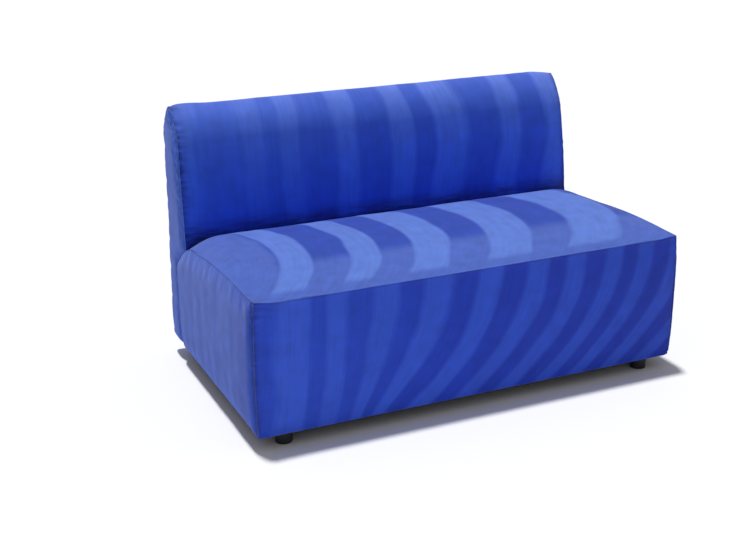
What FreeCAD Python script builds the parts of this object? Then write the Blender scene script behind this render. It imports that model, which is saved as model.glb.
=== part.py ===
import FreeCAD, Part
import math
import os
import Sketcher

# Armless sofa: a boxed seat and a boxed back, upholstered apart and screwed together.
# Origin at the middle of the footprint on the floor, +X along the seat, +Y to the rear, +Z up.
# All sizes are in millimetres.

DOC = FreeCAD.newDocument("ArmlessSofa")
Vec = FreeCAD.Vector

# Driving dimensions: name, value, meaning
SIZES = [
    ("seat_width", 1320, "seat between its side seams"),
    ("seat_depth", 683, "front seam to the rear face of the seat box"),
    ("front_bulge", 6, "swell of the front panel"),
    ("side_bulge", 7, "swell of the side panels"),
    ("bulge_edge", 26, "seam to the flat middle of a side panel of the seat"),
    ("back_bulge_edge", 16, "seam to the flat middle of a side panel of the back"),
    ("seat_height", 430, "highest point of the seat's side seams above the floor"),
    ("crown_reach", 250, "front seam to that highest point"),
    ("seam_drop", 14, "front top seam below it"),
    ("round_length", 203, "rear of the seat to the start of its rear rounding"),
    ("round_drop", 3, "start of the rear rounding below the highest point"),
    ("round_foot_drop", 115, "where the rear rounding turns straight down, below the highest point"),
    ("round_sagitta", 27, "swell of the rear rounding over its chord"),
    ("crown_rise", 14, "middle of the seat above its side seams"),
    ("cover_thickness", 2, "upholstery fabric with its lining"),
    ("padding_thickness", 9, "batting at the seams"),
    ("board_thickness", 3, "hardboard panels"),
    ("dust_thickness", 1, "cloth under the frame"),
    ("foot_height", 39, "floor to the underside"),
    ("foot_radius", 24, "round foot"),
    ("foot_inset", 70, "frame's side to the foot's axis"),
    ("foot_setback", 25, "frame's edge to the foot's axis"),
    ("stud_radius", 4, "steel stud of a foot"),
    ("stud_depth", 20, "stud inside the foot"),
    ("stud_reach", 24, "stud above the foot"),
    ("fit_gap", 0.05, "clearance round a stud or screw where it is screwed in"),
    ("rail_thickness", 25, "sawn rails"),
    ("base_rail_width", 60, "flat rails of the base"),
    ("rail_height", 90, "upright rails under the springs"),
    ("rail_drop", 130, "top of those rails below the highest point of the side seams"),
    ("post_side", 45, "square corner posts"),
    ("stretcher_width", 60, "stretcher in the middle of the base"),
    ("block_leg", 70, "corner block along each rail"),
    ("block_drop", 25, "corner block below the rail tops"),
    ("spring_count", 7, "springs across the seat"),
    ("spring_inset", 88, "frame's side to the outer spring's middle"),
    ("spring_width", 52, "spring over its loops"),
    ("loop_pitch", 34, "half loop along a spring, as near as whole loops allow"),
    ("wire_side", 3.4, "spring wire"),
    ("spring_arch", 18, "rise of a spring in the middle"),
    ("clip_thickness", 1.5, "sheet of a spring clip"),
    ("clip_width", 30, "clip along the rail"),
    ("clip_lip", 5, "clip in front of and behind the wire"),
    ("clip_play", 0.3, "play of the wire in its clip"),
    ("tie_side", 3, "tie wire across the springs"),
    ("tie_spread", 150, "tie wires to each side of the middle"),
    ("insulator_gap", 0.3, "spring wire to the insulator"),
    ("insulator_thickness", 2, "felt over the springs"),
    ("insulator_flat", 26, "flat felt over the front and rear rail"),
    ("back_gap", 0.9, "seat's cover to the back's cover"),
    ("back_depth", 100.1, "depth of the back at its foot"),
    ("back_flare", 2, "side seam of the back outside the seat's at the bottom"),
    ("back_taper", 9, "side seam of the back further in at the top than at the bottom"),
    ("back_height", 795, "top of the back in the middle"),
    ("back_end_drop", 19, "side seams below the middle at the top"),
    ("face_overhang", 69.5, "face of the back in front of the seat's rear"),
    ("face_lean", 33, "lean of the face from its foot to its top"),
    ("face_drop", 121, "end of the face below the top of the back"),
    ("face_bulge", 8, "swell of the back's face"),
    ("top_setback", 64, "rear of the back to its highest line"),
    ("top_front_sagitta", 15, "swell of the top's front rounding"),
    ("top_rear_sagitta", 5, "swell of the top's rear rounding"),
    ("top_panel_drop", 90, "seam across the rear below the top of the back"),
    ("hem_radius", 36, "rounding under the rear of the back"),
    ("back_frame_drop", 79, "top of the back's frame below the top of the back"),
    ("back_frame_bevel", 16, "bevel at the rear of the posts"),
    ("lumbar_drop", 325, "top of the rail under the webbing below the top of the back"),
    ("lumbar_height", 70, "height of that rail"),
    ("top_rail_height", 75, "height of the top rail"),
    ("web_thickness", 1.5, "elastic webbing"),
    ("web_width", 50, "elastic webbing"),
    ("web_count", 8, "upright straps"),
    ("web_row_count", 3, "straps across"),
    ("web_play", 0.1, "play where two straps cross"),
    ("web_setback", 9.5, "seat side of the back's frame to the face that the webbing is on"),
    ("screw_radius", 4, "coach screws between seat and back"),
    ("screw_play", 0.5, "clearance round a screw in the seat's rail and in cloth"),
    ("screw_head_radius", 8, "middle to the corners of a screw's head"),
    ("screw_head_height", 5, "screw's head"),
    ("screw_spacing", 420, "screws along the rail"),
    ("screw_drop", 45, "screws below the rail tops"),
    ("screw_tip", 3, "wood left behind a screw's tip"),
]

sheet = DOC.addObject("Spreadsheet::Sheet", "Sizes")
for row, (alias, value, meaning) in enumerate(SIZES, start=1):
    sheet.set(f"A{row}", alias)
    sheet.set(f"B{row}", str(value))
    sheet.set(f"C{row}", meaning)
    sheet.setAlias(f"B{row}", alias)
DOC.recompute()

# Places that several pieces share, worked out from the driving dimensions
PLACES = [
    ("y_seam", "(Sizes.front_bulge - Sizes.seat_depth - Sizes.back_gap - Sizes.back_depth) / 2"),
    ("half_seat", "Sizes.seat_width / 2"),
    ("wrap", "Sizes.cover_thickness + Sizes.padding_thickness"),
    ("z_seam", "Sizes.seat_height - Sizes.seam_drop"),
    ("z_rail_top", "Sizes.seat_height - Sizes.rail_drop"),
    ("z_face_top", "Sizes.back_height - Sizes.face_drop"),
    ("z_rear_seam", "Sizes.back_height - Sizes.top_panel_drop"),
    ("z_back_frame", "Sizes.back_height - Sizes.back_frame_drop"),
    ("lumbar_top", "Sizes.back_height - Sizes.lumbar_drop"),
    ("half_back_foot", "Places.half_seat + Sizes.back_flare"),
    ("half_back_top", "Places.half_back_foot - Sizes.back_taper"),
    ("x_board", "Places.half_seat - Places.wrap"),
    ("x_frame", "Places.x_board - Sizes.board_thickness"),
    ("y_board", "Places.y_seam + Places.wrap"),
    ("y_frame", "Places.y_board + Sizes.board_thickness"),
    ("y_seat_rear", "Places.y_seam + Sizes.seat_depth"),
    ("y_frame_rear", "Places.y_seat_rear - Places.wrap"),
    ("z_frame", "Sizes.foot_height + Sizes.dust_thickness"),
    ("z_base", "Places.z_frame + Sizes.rail_thickness"),
    ("z_rail", "Places.z_rail_top - Sizes.rail_height"),
    ("x_foot", "Places.x_frame - Sizes.foot_inset"),
    ("y_front_foot", "Places.y_frame + Sizes.foot_setback"),
    ("y_back", "Places.y_seat_rear + Sizes.back_gap"),
    ("y_back_frame", "Places.y_back + Places.wrap"),
    ("y_rear", "Places.y_back + Sizes.back_depth"),
    ("y_rear_board", "Places.y_rear - Places.wrap"),
    ("y_rear_frame", "Places.y_rear_board - Sizes.board_thickness"),
    ("y_hem", "Places.y_rear - Sizes.hem_radius"),
    ("y_back_foot", "Places.y_back_frame + Sizes.foot_setback"),
    ("x_back_frame", "Places.half_back_top - Places.wrap"),
    ("x_back_rail", "Places.x_back_frame - Sizes.rail_thickness"),
    ("y_web", "Places.y_back_frame + Sizes.web_setback"),
    ("y_spring_front", "Places.y_frame + Sizes.rail_thickness / 2"),
    ("y_spring_rear", "Places.y_frame_rear - Sizes.rail_thickness / 2"),
    ("z_wire", "Places.z_rail_top + Sizes.clip_thickness + Sizes.clip_play + Sizes.wire_side / 2"),
    ("z_screw", "Places.z_rail_top - Sizes.screw_drop"),
    ("y_screw_tip", "Places.y_back_frame + Sizes.rail_thickness - Sizes.screw_tip"),
    ("x_dust", "Places.half_seat - Sizes.cover_thickness"),
    ("z_clip_top", "Places.z_rail_top + 2 * Sizes.clip_thickness + Sizes.wire_side + 2 * Sizes.clip_play"),
    ("z_felt", "Places.z_clip_top + Sizes.insulator_gap"),
    ("web_room", "2 * (Sizes.web_thickness + Sizes.web_play)"),
    ("y_back_felt", "Places.y_web - Places.web_room - Sizes.insulator_thickness"),
    ("lumbar_low", "Places.lumbar_top - Sizes.lumbar_height"),
    ("x_seat_rail", "Places.x_frame - Sizes.rail_thickness"),
    ("x_post", "Places.x_frame - Sizes.post_side"),
    ("y_front_rail_rear", "Places.y_frame + Sizes.rail_thickness"),
    ("y_rear_rail_front", "Places.y_frame_rear - Sizes.rail_thickness"),
    ("y_front_post_rear", "Places.y_frame + Sizes.post_side"),
    ("y_rear_post_front", "Places.y_frame_rear - Sizes.post_side"),
    ("y_base_front", "Places.y_frame + Sizes.base_rail_width"),
    ("y_base_rear", "Places.y_frame_rear - Sizes.base_rail_width"),
]

places = DOC.addObject("App::VarSet", "Places")
for name, expression in PLACES:
    places.addProperty("App::PropertyFloat", name)
    places.setExpression(name, expression)
DOC.recompute()


def size(alias):
    """Return one driving dimension."""
    return float(sheet.get(alias))


def at(name):
    """Return one shared place."""
    return float(getattr(places, name))


# Turns what points up so that it points to the rear
LEVEL = FreeCAD.Placement(Vec(0, 0, 0), FreeCAD.Rotation(Vec(1, 0, 0), -90))

NODES = []


def keep(item, label):
    """Give a finished sub-part its name and put it on the list of pieces to write."""
    item.Label = label
    NODES.append(item)
    return item


def bind(item, **expressions):
    """Bind properties of an object; Placement.Base.x is written as x, and so on."""
    axes = {"x": "Placement.Base.x", "y": "Placement.Base.y", "z": "Placement.Base.z"}
    for name, expression in expressions.items():
        item.setExpression(axes.get(name, name), expression)
    return item


def board(name, x, y, z):
    """Make a plain board from its low and high bound on each axis."""
    box = DOC.addObject("Part::Box", name)
    low_high = {"Length": x, "Width": y, "Height": z}
    for side, (low, high) in low_high.items():
        box.setExpression(side, f"({high}) - ({low})")
    return bind(box, x=x[0], y=y[0], z=z[0])


def plane_of(body, role):
    """Return one of a body's own origin planes."""
    return next(item for item in body.Origin.OriginFeatures if item.Role == role)


def polygon_sketch(body, name, plane, points):
    """Draw a closed outline whose corners are bound to expressions."""
    sketch = body.newObject("Sketcher::SketchObject", name)
    sketch.AttachmentSupport = (plane_of(body, plane), [""])
    sketch.MapMode = "FlatFace"
    probe = DOC.addObject("App::VarSet", "Probe")
    corners = []
    for index, pair in enumerate(points):
        for axis, expression in zip("uv", pair):
            probe.addProperty("App::PropertyFloat", f"{axis}{index}")
            probe.setExpression(f"{axis}{index}", expression)
    DOC.recompute()
    for index in range(len(points)):
        corners.append(Vec(getattr(probe, f"u{index}"), getattr(probe, f"v{index}"), 0))
    DOC.removeObject(probe.Name)
    count = len(points)
    for index, corner in enumerate(corners):
        sketch.addGeometry(Part.LineSegment(corner, corners[(index + 1) % count]), False)
    for index in range(count):
        sketch.addConstraint(Sketcher.Constraint("Coincident", index, 2, (index + 1) % count, 1))
    for index, (corner, pair) in enumerate(zip(corners, points)):
        for kind, value, expression in (("DistanceX", corner.x, pair[0]), ("DistanceY", corner.y, pair[1])):
            number = sketch.addConstraint(Sketcher.Constraint(kind, -1, 1, index, 1, value))
            sketch.setExpression(f"Constraints[{number}]", expression)
    return sketch


def padded_body(name, plane, points, length):
    """Make a body from one outline and one pad."""
    body = DOC.addObject("PartDesign::Body", name)
    sketch = polygon_sketch(body, name + "_outline", plane, points)
    pad = body.newObject("PartDesign::Pad", name + "_pad")
    pad.Profile = sketch
    pad.setExpression("Length", length)
    body.Tip = pad
    return body


def turned_body(name, points):
    """Make a body by turning an outline, given as radius and height, about its upright axis."""
    body = DOC.addObject("PartDesign::Body", name)
    sketch = polygon_sketch(body, name + "_outline", "XZ_Plane", points)
    turn = body.newObject("PartDesign::Revolution", name + "_turn")
    turn.Profile = sketch
    turn.ReferenceAxis = (sketch, ["V_Axis"])
    turn.Angle = 360
    body.Tip = turn
    return body


def drill(body, name, centres, radius):
    """Pocket round holes through a body that was padded up from its XY plane."""
    sketch = body.newObject("Sketcher::SketchObject", name)
    sketch.AttachmentSupport = (plane_of(body, "XY_Plane"), [""])
    sketch.MapMode = "FlatFace"
    for index, (x, y) in enumerate(centres):
        sketch.addGeometry(Part.Circle(Vec(index + 1, index + 1, 0), Vec(0, 0, 1), 1), False)
        for kind, expression in (("DistanceX", x), ("DistanceY", y)):
            number = sketch.addConstraint(Sketcher.Constraint(kind, -1, 1, index, 3, index + 1))
            sketch.setExpression(f"Constraints[{number}]", expression)
        number = sketch.addConstraint(Sketcher.Constraint("Radius", index, 1))
        sketch.setExpression(f"Constraints[{number}]", radius)
    pocket = body.newObject("PartDesign::Pocket", name + "_pocket")
    pocket.Profile = sketch
    pocket.Type = "ThroughAll"
    pocket.Reversed = True
    body.Tip = pocket
    return body


def group(label, items):
    """Collect identical pieces under one name as separate solids."""
    compound = DOC.addObject("Part::Compound", label)
    compound.Links = items
    return keep(compound, label)


def cut_away(name, base, tools):
    """Cut one or more tools out of a piece."""
    tool = tools[0]
    if len(tools) > 1:
        tool = DOC.addObject("Part::Compound", name + "_tools")
        tool.Links = tools
    cut = DOC.addObject("Part::Cut", name)
    cut.Base = base
    cut.Tool = tool
    return cut


def free_shape(name, shape):
    """Put a worked-out shape into the document."""
    item = DOC.addObject("Part::Feature", name)
    item.Shape = shape
    return item


def line(start, end):
    """Return a straight edge."""
    return Part.makeLine(start, end)


def arc(start, middle, end):
    """Return an arc through three points."""
    return Part.Arc(start, middle, end).toShape()


# Seat frame

def build_seat_frame():
    """Base of flat rails, corner posts, upright rails, blocks and boards."""
    rows = {"front": ("Places.y_frame", "Places.y_base_front", "Places.y_front_foot"),
            "rear": ("Places.y_base_rear", "Places.y_frame_rear", None)}
    for end, (low, high, foot) in rows.items():
        name = f"base_{end}_rail"
        outline = [("-Places.x_frame", low), ("Places.x_frame", low),
                   ("Places.x_frame", high), ("-Places.x_frame", high)]
        body = padded_body(name, "XY_Plane", outline, "Sizes.rail_thickness")
        if foot:
            holes = [("-Places.x_foot", foot), ("Places.x_foot", foot)]
            drill(body, name + "_holes", holes, "Sizes.stud_radius + Sizes.fit_gap")
        bind(body, z="Places.z_frame")
        keep(body, name)

    base = ("Places.z_frame", "Places.z_base")
    between = ("Places.y_base_front", "Places.y_base_rear")
    side = ("Places.x_frame - Sizes.base_rail_width", "Places.x_frame")
    keep(board("base_right_rail", side, between, base), "base_right_rail")
    side = ("-Places.x_frame", "-Places.x_frame + Sizes.base_rail_width")
    keep(board("base_left_rail", side, between, base), "base_left_rail")
    middle = ("-Sizes.stretcher_width / 2", "Sizes.stretcher_width / 2")
    keep(board("base_stretcher", middle, between, base), "base_stretcher")

    x_sides = {"left": ("-Places.x_frame", "-Places.x_post"), "right": ("Places.x_post", "Places.x_frame")}
    y_ends = {"front": ("Places.y_frame", "Places.y_front_post_rear"),
              "rear": ("Places.y_rear_post_front", "Places.y_frame_rear")}
    for end, y in y_ends.items():
        for hand, x in x_sides.items():
            name = f"{end}_{hand}_post"
            keep(board(name, x, y, ("Places.z_base", "Places.z_rail_top")), name)

    upright = ("Places.z_rail", "Places.z_rail_top")
    front = ("Places.y_frame", "Places.y_front_rail_rear")
    rear = ("Places.y_rear_rail_front", "Places.y_frame_rear")
    wide = ("-Places.x_post", "Places.x_post")
    keep(board("seat_front_rail", wide, front, upright), "seat_front_rail")
    plain_rear = board("seat_rear_rail_board", wide, rear, upright)
    drills = screw_holes("seat_rear_rail", "Sizes.screw_radius + Sizes.screw_play")
    keep(cut_away("seat_rear_rail", plain_rear, drills), "seat_rear_rail")
    long = ("Places.y_front_post_rear", "Places.y_rear_post_front")
    keep(board("seat_left_rail", ("-Places.x_frame", "-Places.x_seat_rail"), long, upright), "seat_left_rail")
    keep(board("seat_right_rail", ("Places.x_seat_rail", "Places.x_frame"), long, upright), "seat_right_rail")

    middle = ("-Sizes.post_side / 2", "Sizes.post_side / 2")
    lower = ("Places.z_base", "Places.z_rail")
    group("centre_posts", [board("front_centre_post", middle, front, lower),
                           board("rear_centre_post", middle, rear, lower)])

    blocks = []
    for sign, hand in ((-1, "left"), (1, "right")):
        for end, rail, post, turn in (("front", "Places.y_front_rail_rear", "Places.y_front_post_rear", "+"),
                                      ("rear", "Places.y_rear_rail_front", "Places.y_rear_post_front", "-")):
            x_post = f"{sign} * Places.x_post"
            x_rail = f"{sign} * Places.x_seat_rail"
            outline = [(f"{sign} * (Places.x_post - Sizes.block_leg)", rail), (x_post, rail), (x_post, post),
                       (x_rail, post), (x_rail, f"{post} {turn} Sizes.block_leg")]
            body = padded_body(f"{end}_{hand}_block", "XY_Plane", outline, "Sizes.rail_thickness")
            blocks.append(bind(body, z="Places.z_rail_top - Sizes.block_drop - Sizes.rail_thickness"))
    group("corner_blocks", blocks)

    tall = ("Places.z_frame", "Places.z_felt + Sizes.insulator_thickness")
    across = ("-Places.x_board", "Places.x_board")
    keep(board("seat_front_board", across, ("Places.y_board", "Places.y_frame"), tall), "seat_front_board")
    deep = ("Places.y_frame", "Places.y_frame_rear")
    keep(board("seat_left_board", ("-Places.x_board", "-Places.x_frame"), deep, tall), "seat_left_board")
    keep(board("seat_right_board", ("Places.x_frame", "Places.x_board"), deep, tall), "seat_right_board")


def screw_places():
    """Expressions for the joining screws' places along the sofa."""
    return [f"{step} * Sizes.screw_spacing" for step in (-1, 0, 1)]


def round_tool(name, x, y, z, radius, length, level=True):
    """Round drill for a hole: along the sofa's depth when level, else upwards."""
    tool = DOC.addObject("Part::Cylinder", name)
    if level:
        tool.Placement = LEVEL
    return bind(tool, Radius=radius, Height=length, x=x, y=y, z=z)


def screw_holes(name, radius):
    """Drills on the screws' axes, from in front of the seat's rear rail to the screws' tips."""
    return [round_tool(f"{name}_hole_{index + 1}", x, "Places.y_rear_rail_front - Sizes.rail_thickness",
                       "Places.z_screw", radius,
                       "Places.y_screw_tip - Places.y_rear_rail_front + Sizes.rail_thickness")
            for index, x in enumerate(screw_places())]


def screw_slits(name):
    """Square cuts on the screws' axes for batting and cloth."""
    half = "(Sizes.screw_radius + Sizes.screw_play)"
    return [board(f"{name}_slit_{index + 1}", (f"{x} - {half}", f"{x} + {half}"),
                  ("Places.y_frame_rear - Places.wrap", "Places.y_back_frame + Places.wrap"),
                  (f"Places.z_screw - {half}", f"Places.z_screw + {half}"))
            for index, x in enumerate(screw_places())]


def stud_holes(name, y, radius):
    """Drills on the axes of the left and right foot."""
    top = "Places.z_base + Sizes.rail_thickness"
    return [round_tool(f"{name}_hole_{hand}", x, y, "0", radius, top, False)
            for hand, x in (("left", "-Places.x_foot"), ("right", "Places.x_foot"))]


def stud_slits(name, y):
    """Square cuts on the axes of the left and right foot for the cloth under the frame."""
    half = "(Sizes.stud_radius + Sizes.screw_play)"
    return [board(f"{name}_slit_{hand}", (f"{x} - {half}", f"{x} + {half}"),
                  (f"{y} - {half}", f"{y} + {half}"), ("0", "Places.z_base"))
            for hand, x in (("left", "-Places.x_foot"), ("right", "Places.x_foot"))]


# Feet and fasteners

def build_feet():
    """Round feet in a front and a rear pair, and the studs that screw them to the frame."""
    bore = "Sizes.stud_radius + Sizes.fit_gap"
    floor = "Sizes.foot_height - Sizes.stud_depth"
    outline = [("0", "0"), ("Sizes.foot_radius", "0"), ("Sizes.foot_radius", "Sizes.foot_height"),
               (bore, "Sizes.foot_height"), (bore, floor), ("0", floor)]
    studs = []
    for end, y in (("front", "Places.y_front_foot"), ("rear", "Places.y_back_foot")):
        pair = []
        for hand, x in (("left", "-Places.x_foot"), ("right", "Places.x_foot")):
            foot = turned_body(f"{end}_{hand}_foot", outline)
            pair.append(bind(foot, x=x, y=y))
            stud = DOC.addObject("Part::Cylinder", f"{end}_{hand}_stud")
            studs.append(bind(stud, Radius="Sizes.stud_radius", Height="Sizes.stud_depth + Sizes.stud_reach",
                              x=x, y=y, z=floor))
        group(f"{end}_feet", pair)
    group("foot_studs", studs)


def build_joining_screws():
    """Coach screws from the seat's rear rail into the back's rail."""
    screws = []
    for index, x in enumerate(screw_places()):
        shank = round_tool(f"screw_shank_{index + 1}", x, "Places.y_rear_rail_front", "Places.z_screw",
                           "Sizes.screw_radius", "Places.y_screw_tip - Places.y_rear_rail_front")
        head = DOC.addObject("Part::Prism", f"screw_head_{index + 1}")
        head.Polygon = 6
        head.Placement = LEVEL
        bind(head, Circumradius="Sizes.screw_head_radius", Height="Sizes.screw_head_height", x=x,
             y="Places.y_rear_rail_front - Sizes.screw_head_height", z="Places.z_screw")
        screw = DOC.addObject("Part::Fuse", f"screw_{index + 1}")
        screw.Base = shank
        screw.Tool = head
        screws.append(screw)
    group("joining_screws", screws)


# Springs

def wire_along(points, side, up):
    """Square wire along straight runs with mitred bends; every face is flat. up is its upper side."""
    first = (points[1] - points[0]).normalize()
    across = first.cross(up).normalize()
    up = across.cross(first)
    half = side / 2
    ring = [points[0] + across * a * half + up * b * half for a, b in ((1, 1), (-1, 1), (-1, -1), (1, -1))]
    rings = [ring]
    for index in range(1, len(points)):
        run = (points[index] - points[index - 1]).normalize()
        normal = run
        if index < len(points) - 1:
            normal = (run + (points[index + 1] - points[index]).normalize()).normalize()
        ring = [corner + run * ((points[index] - corner).dot(normal) / run.dot(normal)) for corner in ring]
        rings.append(ring)
    faces = [Part.Face(Part.makePolygon(rings[0] + rings[0][:1])),
             Part.Face(Part.makePolygon(rings[-1] + rings[-1][:1]))]
    for low, high in zip(rings, rings[1:]):
        for index in range(4):
            follow = (index + 1) % 4
            corners = [low[index], low[follow], high[follow], high[index], low[index]]
            faces.append(Part.Face(Part.makePolygon(corners)))
    solid = Part.Solid(Part.Shell(faces))
    if solid.Volume < 0:
        solid.reverse()
    return solid


def arch_at(y):
    """Rise of the springs above their clips at one depth."""
    front = at("y_spring_front")
    rear = at("y_spring_rear")
    return 4 * size("spring_arch") * (y - front) * (rear - y) / (rear - front) ** 2


def spring_points():
    """Corners of one sinuous spring's wire about its middle line, front to rear."""
    front = at("y_spring_front")
    rear = at("y_spring_rear")
    half = size("spring_width") / 2
    loops = 2 * round((rear - front) / size("loop_pitch") / 2)
    bend = (rear - front) / loops / 2
    row = half - bend
    points = [Vec(half, front, 0)]
    for loop in range(loops + 1):
        hand = -1 if loop % 2 else 1
        y = front + 2 * loop * bend
        if loop > 0:
            points += [Vec(hand * half, y - bend, 0), Vec(hand * row, y, 0)]
        if loop < loops:
            points.append(Vec(-hand * row, y, 0))
    points.append(Vec(-half, rear, 0))
    for point in points:
        point.z = at("z_wire") + arch_at(point.y)
    return points


def spring_places():
    """Middle lines of the springs across the seat."""
    count = int(size("spring_count"))
    reach = at("x_frame") - size("spring_inset")
    return [reach * (2 * index / (count - 1) - 1) for index in range(count)]


def build_springs():
    """Sinuous springs, the clips at their ends, and the tie wires across them."""
    slope = 4 * size("spring_arch") / (at("y_spring_rear") - at("y_spring_front"))
    spring = wire_along(spring_points(), size("wire_side"), Vec(0, -slope, 1))
    springs = []
    clips = []
    thick = size("clip_thickness")
    bore = size("wire_side") + 2 * size("clip_play")
    lip = size("clip_lip")
    for x in spring_places():
        springs.append(spring.translated(Vec(x, 0, 0)))
        for y, turn in ((at("y_spring_front"), 1), (at("y_spring_rear"), -1)):
            base = at("z_rail_top")
            outer = y - turn * (bore / 2 + thick)
            inner = y + turn * (bore / 2 + lip)
            tip = y + turn * bore / 2
            profile = [(inner, base), (outer, base), (outer, base + 2 * thick + bore),
                       (tip, base + 2 * thick + bore), (tip, base + thick + bore),
                       (y - turn * bore / 2, base + thick + bore), (y - turn * bore / 2, base + thick),
                       (inner, base + thick)]
            start = x - size("clip_width") / 2
            corners = [Vec(start, depth, height) for depth, height in profile]
            face = Part.Face(Part.makePolygon(corners + corners[:1]))
            clips.append(face.extrude(Vec(size("clip_width"), 0, 0)))
    keep(free_shape("seat_springs", Part.makeCompound(springs)), "seat_springs")
    keep(free_shape("spring_clips", Part.makeCompound(clips)), "spring_clips")

    ties = []
    middle = (at("y_spring_front") + at("y_spring_rear")) / 2
    reach = spring_places()[-1] + size("spring_width") / 2
    side = size("tie_side")
    for step in (-1, 1):
        y = middle + step * size("tie_spread")
        gap = size("wire_side") / 2 + size("clip_play") + side / 2
        z = at("z_wire") + arch_at(y) - gap
        tie = Part.makeBox(2 * reach, side, side, Vec(-reach, y - side / 2, z - side / 2))
        ties.append(tie)
    keep(free_shape("spring_tie_wires", Part.makeCompound(ties)), "spring_tie_wires")


# Seat upholstery

def swollen(start, end, sagitta):
    """Middle of an arc between two points of one side outline, by its rise over the chord."""
    chord = end - start
    return (start + end) / 2 + Vec(0, -chord.z, chord.y).normalize() * sagitta


def round_ends(x, lift):
    """Where the seat's rear rounding starts and where it turns straight down."""
    height = size("seat_height")
    rear = at("y_seat_rear")
    start = Vec(x, rear - size("round_length"), height - size("round_drop") + lift)
    return start, Vec(x, rear, height - size("round_foot_drop"))


def seat_outline(x, inset, bulge, crown, lower=0):
    """Side outline of the seat at one place along the sofa, moved inwards by a layer.

    The underside stays where it is unless lower moves it up.
    """
    y0 = at("y_seam")
    under = size("foot_height") + lower
    seam = at("z_seam")
    lift = size("crown_rise") * crown
    front_low = Vec(x, y0 + inset, under)
    front_top = Vec(x, y0 + inset, seam - inset)
    crest = Vec(x, y0 + size("crown_reach"), size("seat_height") + lift - inset)
    start, foot = round_ends(x, lift)
    swell = swollen(start, foot, size("round_sagitta") + lift - inset)
    start = start - Vec(0, 0, inset)
    foot = foot - Vec(0, inset, 0)
    rear_low = Vec(x, y0 + size("seat_depth") - inset, under)
    if bulge > 0:
        front = arc(front_low, (front_low + front_top) / 2 - Vec(0, bulge, 0), front_top)
    else:
        front = line(front_low, front_top)
    edges = [front, arc(front_top, crest, start), arc(start, swell, foot),
             line(foot, rear_low), line(rear_low, front_low)]
    return Part.Wire(edges)


# Shares of the half width, and the share of the full crown there
CROWN_STEPS = [(0.88, 1), (0.95, 0.55), (1, 0)]


def stations(extra):
    """Places across the sofa as shares of the half width, with their crown; extra adds straight ends."""
    right = [(share, crown, 0) for share, crown in CROWN_STEPS]
    if extra:
        right.append((1, 0, extra))
    left = [(-share, crown, -more) for share, crown, more in reversed(right)]
    return left + right


def seat_core(inset, bulge, extra=0):
    """Crowned block of the seat between the inner edges of its side panels."""
    half = at("x_dust")
    wires = [seat_outline(share * half + more, inset, bulge * crown, crown)
             for share, crown, more in stations(extra)]
    return Part.makeLoft(wires, True, True)


def slab(low, high):
    """Block between two places across the sofa, past everything else."""
    far = size("back_height")
    return Part.makeBox(high - low, 2 * far, 2 * far, Vec(low, -far, 0))


def below(height):
    """Block of everything under a height."""
    far = size("seat_width")
    return Part.makeBox(2 * far, 2 * far, far, Vec(-far, -far, height - far))


def build_seat_soft():
    """Foam, batting and the four covers of the seat."""
    cover = size("cover_thickness")
    wrap = at("wrap")
    half = at("half_seat")
    bulge = size("front_bulge")
    x_board = at("x_board")
    top_felt = felt_face(size("insulator_thickness"), half, at("y_board"), at("y_frame_rear"))

    core = seat_core(wrap, 0, wrap).common(slab(-x_board, x_board))
    keep(free_shape("seat_foam", core.cut(top_felt)), "seat_foam")

    fill = seat_core(cover, bulge)
    swell = size("side_bulge")
    edge = size("bulge_edge")
    steps = ((0, 0), (swell, edge))
    for hand, side in (("left", -1), ("right", 1)):
        rim = [seat_outline(side * (half - depth), 0, 0, 0) for depth in (cover, 0)]
        crown = [seat_outline(side * (half + out), inset, 0, 0, inset) for out, inset in steps]
        outer = Part.makeLoft(rim, True, True).fuse(Part.makeLoft(crown, True, True))
        crown = [seat_outline(side * (half - cover + out), cover + inset, 0, 0, cover + inset)
                 for out, inset in steps]
        flank = Part.makeLoft(crown, True, True)
        keep(free_shape(f"seat_{hand}_cover", outer.cut(flank)), f"seat_{hand}_cover")
        fill = fill.fuse(flank)
    batting = free_shape("seat_batting_whole", fill.cut(core).cut(below(at("z_frame"))))
    keep(cut_away("seat_batting", batting, screw_slits("seat_batting")), "seat_batting")

    skin = seat_core(0, bulge).cut(seat_core(cover, bulge, cover))
    seam = Vec(-half, at("y_seam"), at("z_seam"))
    drop = at("z_seam")
    wedge = [seam + Vec(0, -drop, drop), seam + Vec(0, -drop, -drop), seam + Vec(0, drop, -drop)]
    front_side = Part.Face(Part.makePolygon(wedge + wedge[:1])).extrude(Vec(2 * half, 0, 0))
    keep(free_shape("seat_front_cover", skin.common(front_side)), "seat_front_cover")
    top = free_shape("seat_top_cover_whole", skin.cut(front_side))
    keep(cut_away("seat_top_cover", top, screw_slits("seat_top_cover")), "seat_top_cover")


def felt_face(rise, reach, front, rear):
    """Block that reaches from the floor up to the felt's underside, or above it by a rise."""
    foot = at("z_felt") + rise
    y_low = at("y_frame") + size("insulator_flat")
    y_high = at("y_frame_rear") - size("insulator_flat")
    middle = (at("y_spring_front") + at("y_spring_rear")) / 2
    crest = at("z_wire") + size("spring_arch") + size("wire_side") / 2 + size("insulator_gap") + rise
    corners = [Vec(-reach, front, 0), Vec(-reach, front, foot), Vec(-reach, y_low, foot),
               Vec(-reach, y_high, foot), Vec(-reach, rear, foot), Vec(-reach, rear, 0)]
    edges = [line(corners[0], corners[1]), line(corners[1], corners[2]),
             arc(corners[2], Vec(-reach, middle, crest), corners[3]),
             line(corners[3], corners[4]), line(corners[4], corners[5]), line(corners[5], corners[0])]
    return Part.Face(Part.Wire(edges)).extrude(Vec(2 * reach, 0, 0))


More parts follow.
